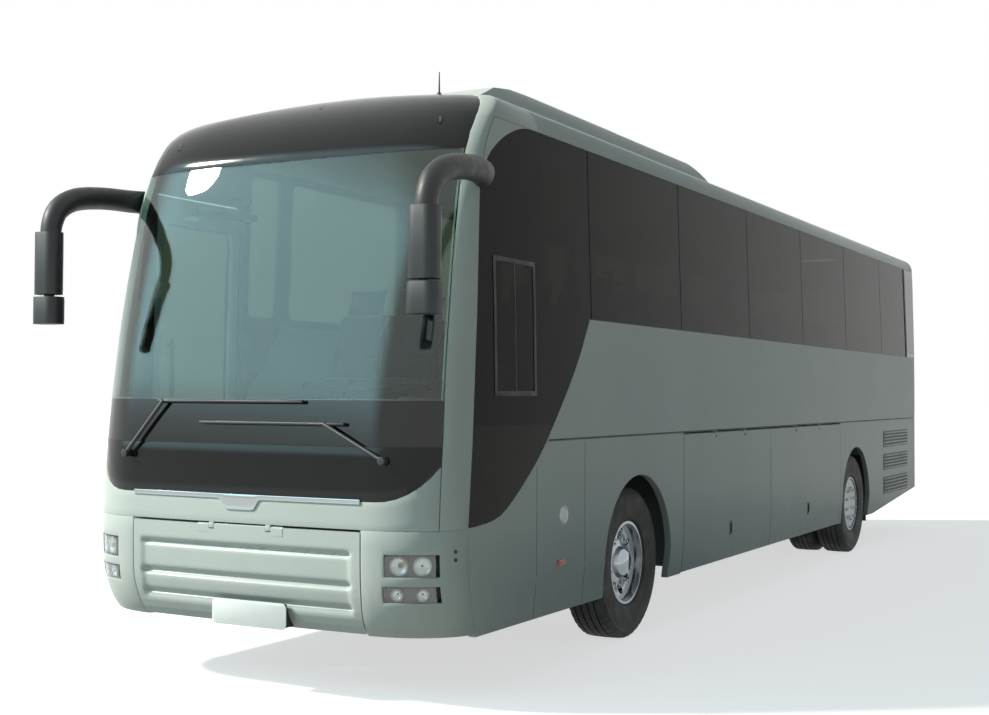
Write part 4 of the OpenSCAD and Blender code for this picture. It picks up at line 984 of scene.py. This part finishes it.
def seat_places():
    places = [Vector((ahead(DRIVER_AT[0]), DRIVER_AT[1], CAB_Z))]
    for row in range(ROWS):
        for side in (1, -1):
            if side < 0 and row in STAIR_ROWS:
                continue
            for half in (-0.5, 0.5):
                x = ahead(FIRST_ROW - row * ROW_PITCH)
                places.append(Vector((x, side * BENCH_Y + half * SEAT_SPACING, DECK_Z)))
    return places


def seats():
    places = seat_places()
    recline = Matrix.Rotation(math.radians(-17), 4, "Y")
    upright = recline @ Matrix.Rotation(math.radians(90), 4, "Y")
    cushions, backs, heads, legs = bmesh.new(), bmesh.new(), bmesh.new(), bmesh.new()
    copy_to(cushions, pad((0.42, 0.42, 0.115), 0.30, Matrix.Translation((0.215, 0, 0.388))), places)
    copy_to(backs, pad((0.52, 0.42, 0.115), 0.30, Matrix.Translation((-0.006, 0, 0.67)) @ upright), places)
    head = Matrix.Translation((-0.125, 0, 1.015)) @ upright
    copy_to(heads, pad((0.20, 0.34, 0.085), 0.35, head, 7), places)
    frame_bm = bmesh.new()
    lump(frame_bm, (0.19, 0.0, 0.165), (0.10, 0.05, 0.33))
    lump(frame_bm, (0.19, 0.0, 0.006), (0.26, 0.10, 0.012))
    lump(frame_bm, (0.14, 0.205, 0.60), (0.24, 0.022, 0.028))
    lump(frame_bm, (0.04, 0.205, 0.50), (0.035, 0.020, 0.22))
    round_edges(frame_bm, 0.006)
    copy_to(legs, frame_bm, places)
    for name, bm, fill in (("seat_cushions", cushions, 0.8), ("seat_backs", backs, 0.8),
                           ("seat_head_pads", heads, 0.7)):
        piece = finish_trim(name, bm, cloth, 0.0, sharp=180)
        if name == "seat_cushions":
            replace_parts(piece, "seats")
    finish_trim("seat_frames", legs, chassis_paint, 0.0)
    return len(places)


print("seats:", seats())

# %% [markdown]
# On the dashboard stand a hooded instrument cluster with two dials and a bank of switches.

# %% dashboard details
def dashboard_details():
    hood, dials, keys = bmesh.new(), bmesh.new(), bmesh.new()
    tilt = Matrix.Rotation(math.radians(-25), 4, "Y")
    seat_y = DRIVER_AT[1]
    lump(hood, Vector((ahead(2.02), seat_y, 1.455)), (0.14, 0.46, 0.06), tilt)
    round_edges(hood, 0.02, segments=3)
    for offset in (-0.11, 0.11):
        turn = Matrix.Translation((ahead(1.945), seat_y + offset, 1.440)) @ tilt @ ABOUT_FACE
        spun(dials, [(0.0005, 0.004), (0.050, 0.004), (0.054, 0.010), (0.058, 0.0)], 28, turn)
    for k in range(8):
        lump(keys, Vector((ahead(1.925), 0.02 + k * 0.036, 1.372)), (0.012, 0.026, 0.034), tilt)
    finish_trim("instrument_hood", hood, dash_skin, 0.0)
    finish_trim("instrument_dials", dials, plate_white, 0.0)
    finish_trim("dash_switches", keys, grained_abs, 0.003)


dashboard_details()
print("dashboard: cluster and switches")

# %% [markdown]
# The studio: a pale floor, a white background and soft lights. The sun lamp stands where the photograph's
# own highlight on the windscreen puts it, ahead of the coach and to its right, so the nose is bright and
# the left side lies in soft shade. The softbox hangs where the windscreen mirrors it to the camera, and
# gives the glass its sheen.

# %% studio
FILL, FLOOR_GLOW = 0.24, 0.63


def seen_ray(tree):
    ray = put(tree, "ShaderNodeLightPath")
    seen = ray.outputs["Is Camera Ray"]
    for kind in ("Is Glossy Ray", "Is Transmission Ray"):
        either = {0: seen, 1: ray.outputs[kind]}
        seen = put(tree, "ShaderNodeMath", links=either, operation="MAXIMUM").outputs[0]
    return seen


def background():
    world = bpy.data.worlds.new("studio")
    bpy.context.scene.world = world
    world.use_nodes = True
    tree = world.node_tree
    tree.nodes.clear()
    fill = put(tree, "ShaderNodeBackground", {"Color": shade("#b4d8e2"), "Strength": FILL})
    white = put(tree, "ShaderNodeBackground", {"Color": shade("#ffffff"), "Strength": 1.0})
    seen = seen_ray(tree)
    both = put(tree, "ShaderNodeMixShader", links={0: seen, 1: fill.outputs[0], 2: white.outputs[0]})
    put(tree, "ShaderNodeOutputWorld", links={"Surface": both.outputs[0]})


def studio_floor():
    mat, tree, surface, place = begin("studio_floor", Roughness=0.9, Specular_IOR_Level=0.0,
                                      Emission_Color=shade("#ffffff"))
    seen = seen_ray(tree)
    glow = put(tree, "ShaderNodeMath", {1: FLOOR_GLOW}, {0: seen}, operation="MULTIPLY")
    tree.links.new(blend(tree, seen, "#929492", "#d0d0ce"), surface.inputs["Base Color"])
    tree.links.new(glow.outputs[0], surface.inputs["Emission Strength"])
    bm = bmesh.new()
    bmesh.ops.create_grid(bm, x_segments=1, y_segments=1, size=150)
    mesh = bpy.data.meshes.new("studio_floor")
    bm.to_mesh(mesh)
    bm.free()
    mesh.materials.append(mat)
    floor = bpy.data.objects.new("studio_floor", mesh)
    bpy.context.scene.collection.objects.link(floor)


def lamp(name, kind, direction, distance, energy, **settings):
    data = bpy.data.lights.new(name, kind)
    data.energy = energy
    for key, value in settings.items():
        setattr(data, key, value)
    made = bpy.data.objects.new(name, data)
    bpy.context.scene.collection.objects.link(made)
    out = Vector(direction).normalized()
    made.matrix_world = facing_matrix(NOSE + out * distance, out)
    return data


def soften(data):
    data.use_nodes = True
    tree = data.node_tree
    tree.nodes.clear()
    across = put(tree, "ShaderNodeNewGeometry").outputs["Parametric"]
    split = put(tree, "ShaderNodeSeparateXYZ", links={"Vector": across})
    fades = []
    for axis in ("X", "Y"):
        off = put(tree, "ShaderNodeMath", {1: 0.5}, {0: split.outputs[axis]}, operation="SUBTRACT")
        far = put(tree, "ShaderNodeMath", links={0: off.outputs[0]}, operation="ABSOLUTE")
        fade = put(tree, "ShaderNodeMapRange", {"From Min": 0.5, "From Max": 0.25}, {"Value": far.outputs[0]},
                   interpolation_type="SMOOTHSTEP")
        fades.append(fade.outputs[0])
    both = put(tree, "ShaderNodeMath", links={0: fades[0], 1: fades[1]}, operation="MULTIPLY")
    glow = put(tree, "ShaderNodeEmission", links={"Strength": both.outputs[0]})
    put(tree, "ShaderNodeOutputLight", links={"Surface": glow.outputs[0]})


NOSE = Vector((ahead(2.4), 0.0, 2.2))
SUN_FROM = (0.39, -0.70, 0.60)
SOFTBOX_FROM = (0.66, -0.60, 0.45)
background()
studio_floor()
lamp("sun", "SUN", SUN_FROM, 20, 4.5, angle=math.radians(4), color=(1.0, 0.93, 0.81))
soften(lamp("softbox", "AREA", SOFTBOX_FROM, 14, 1900, shape="RECTANGLE", size=20, size_y=13,
            color=(0.50, 0.90, 1.0)))
print("studio: floor, background, sun and softbox")

# %% [markdown]
# The dressed coach keeps to the box of the solids, but for a few millimetres of trim. The view transform
# is set to Standard.

# %% view transform
bpy.context.scene.view_settings.view_transform = "Standard"
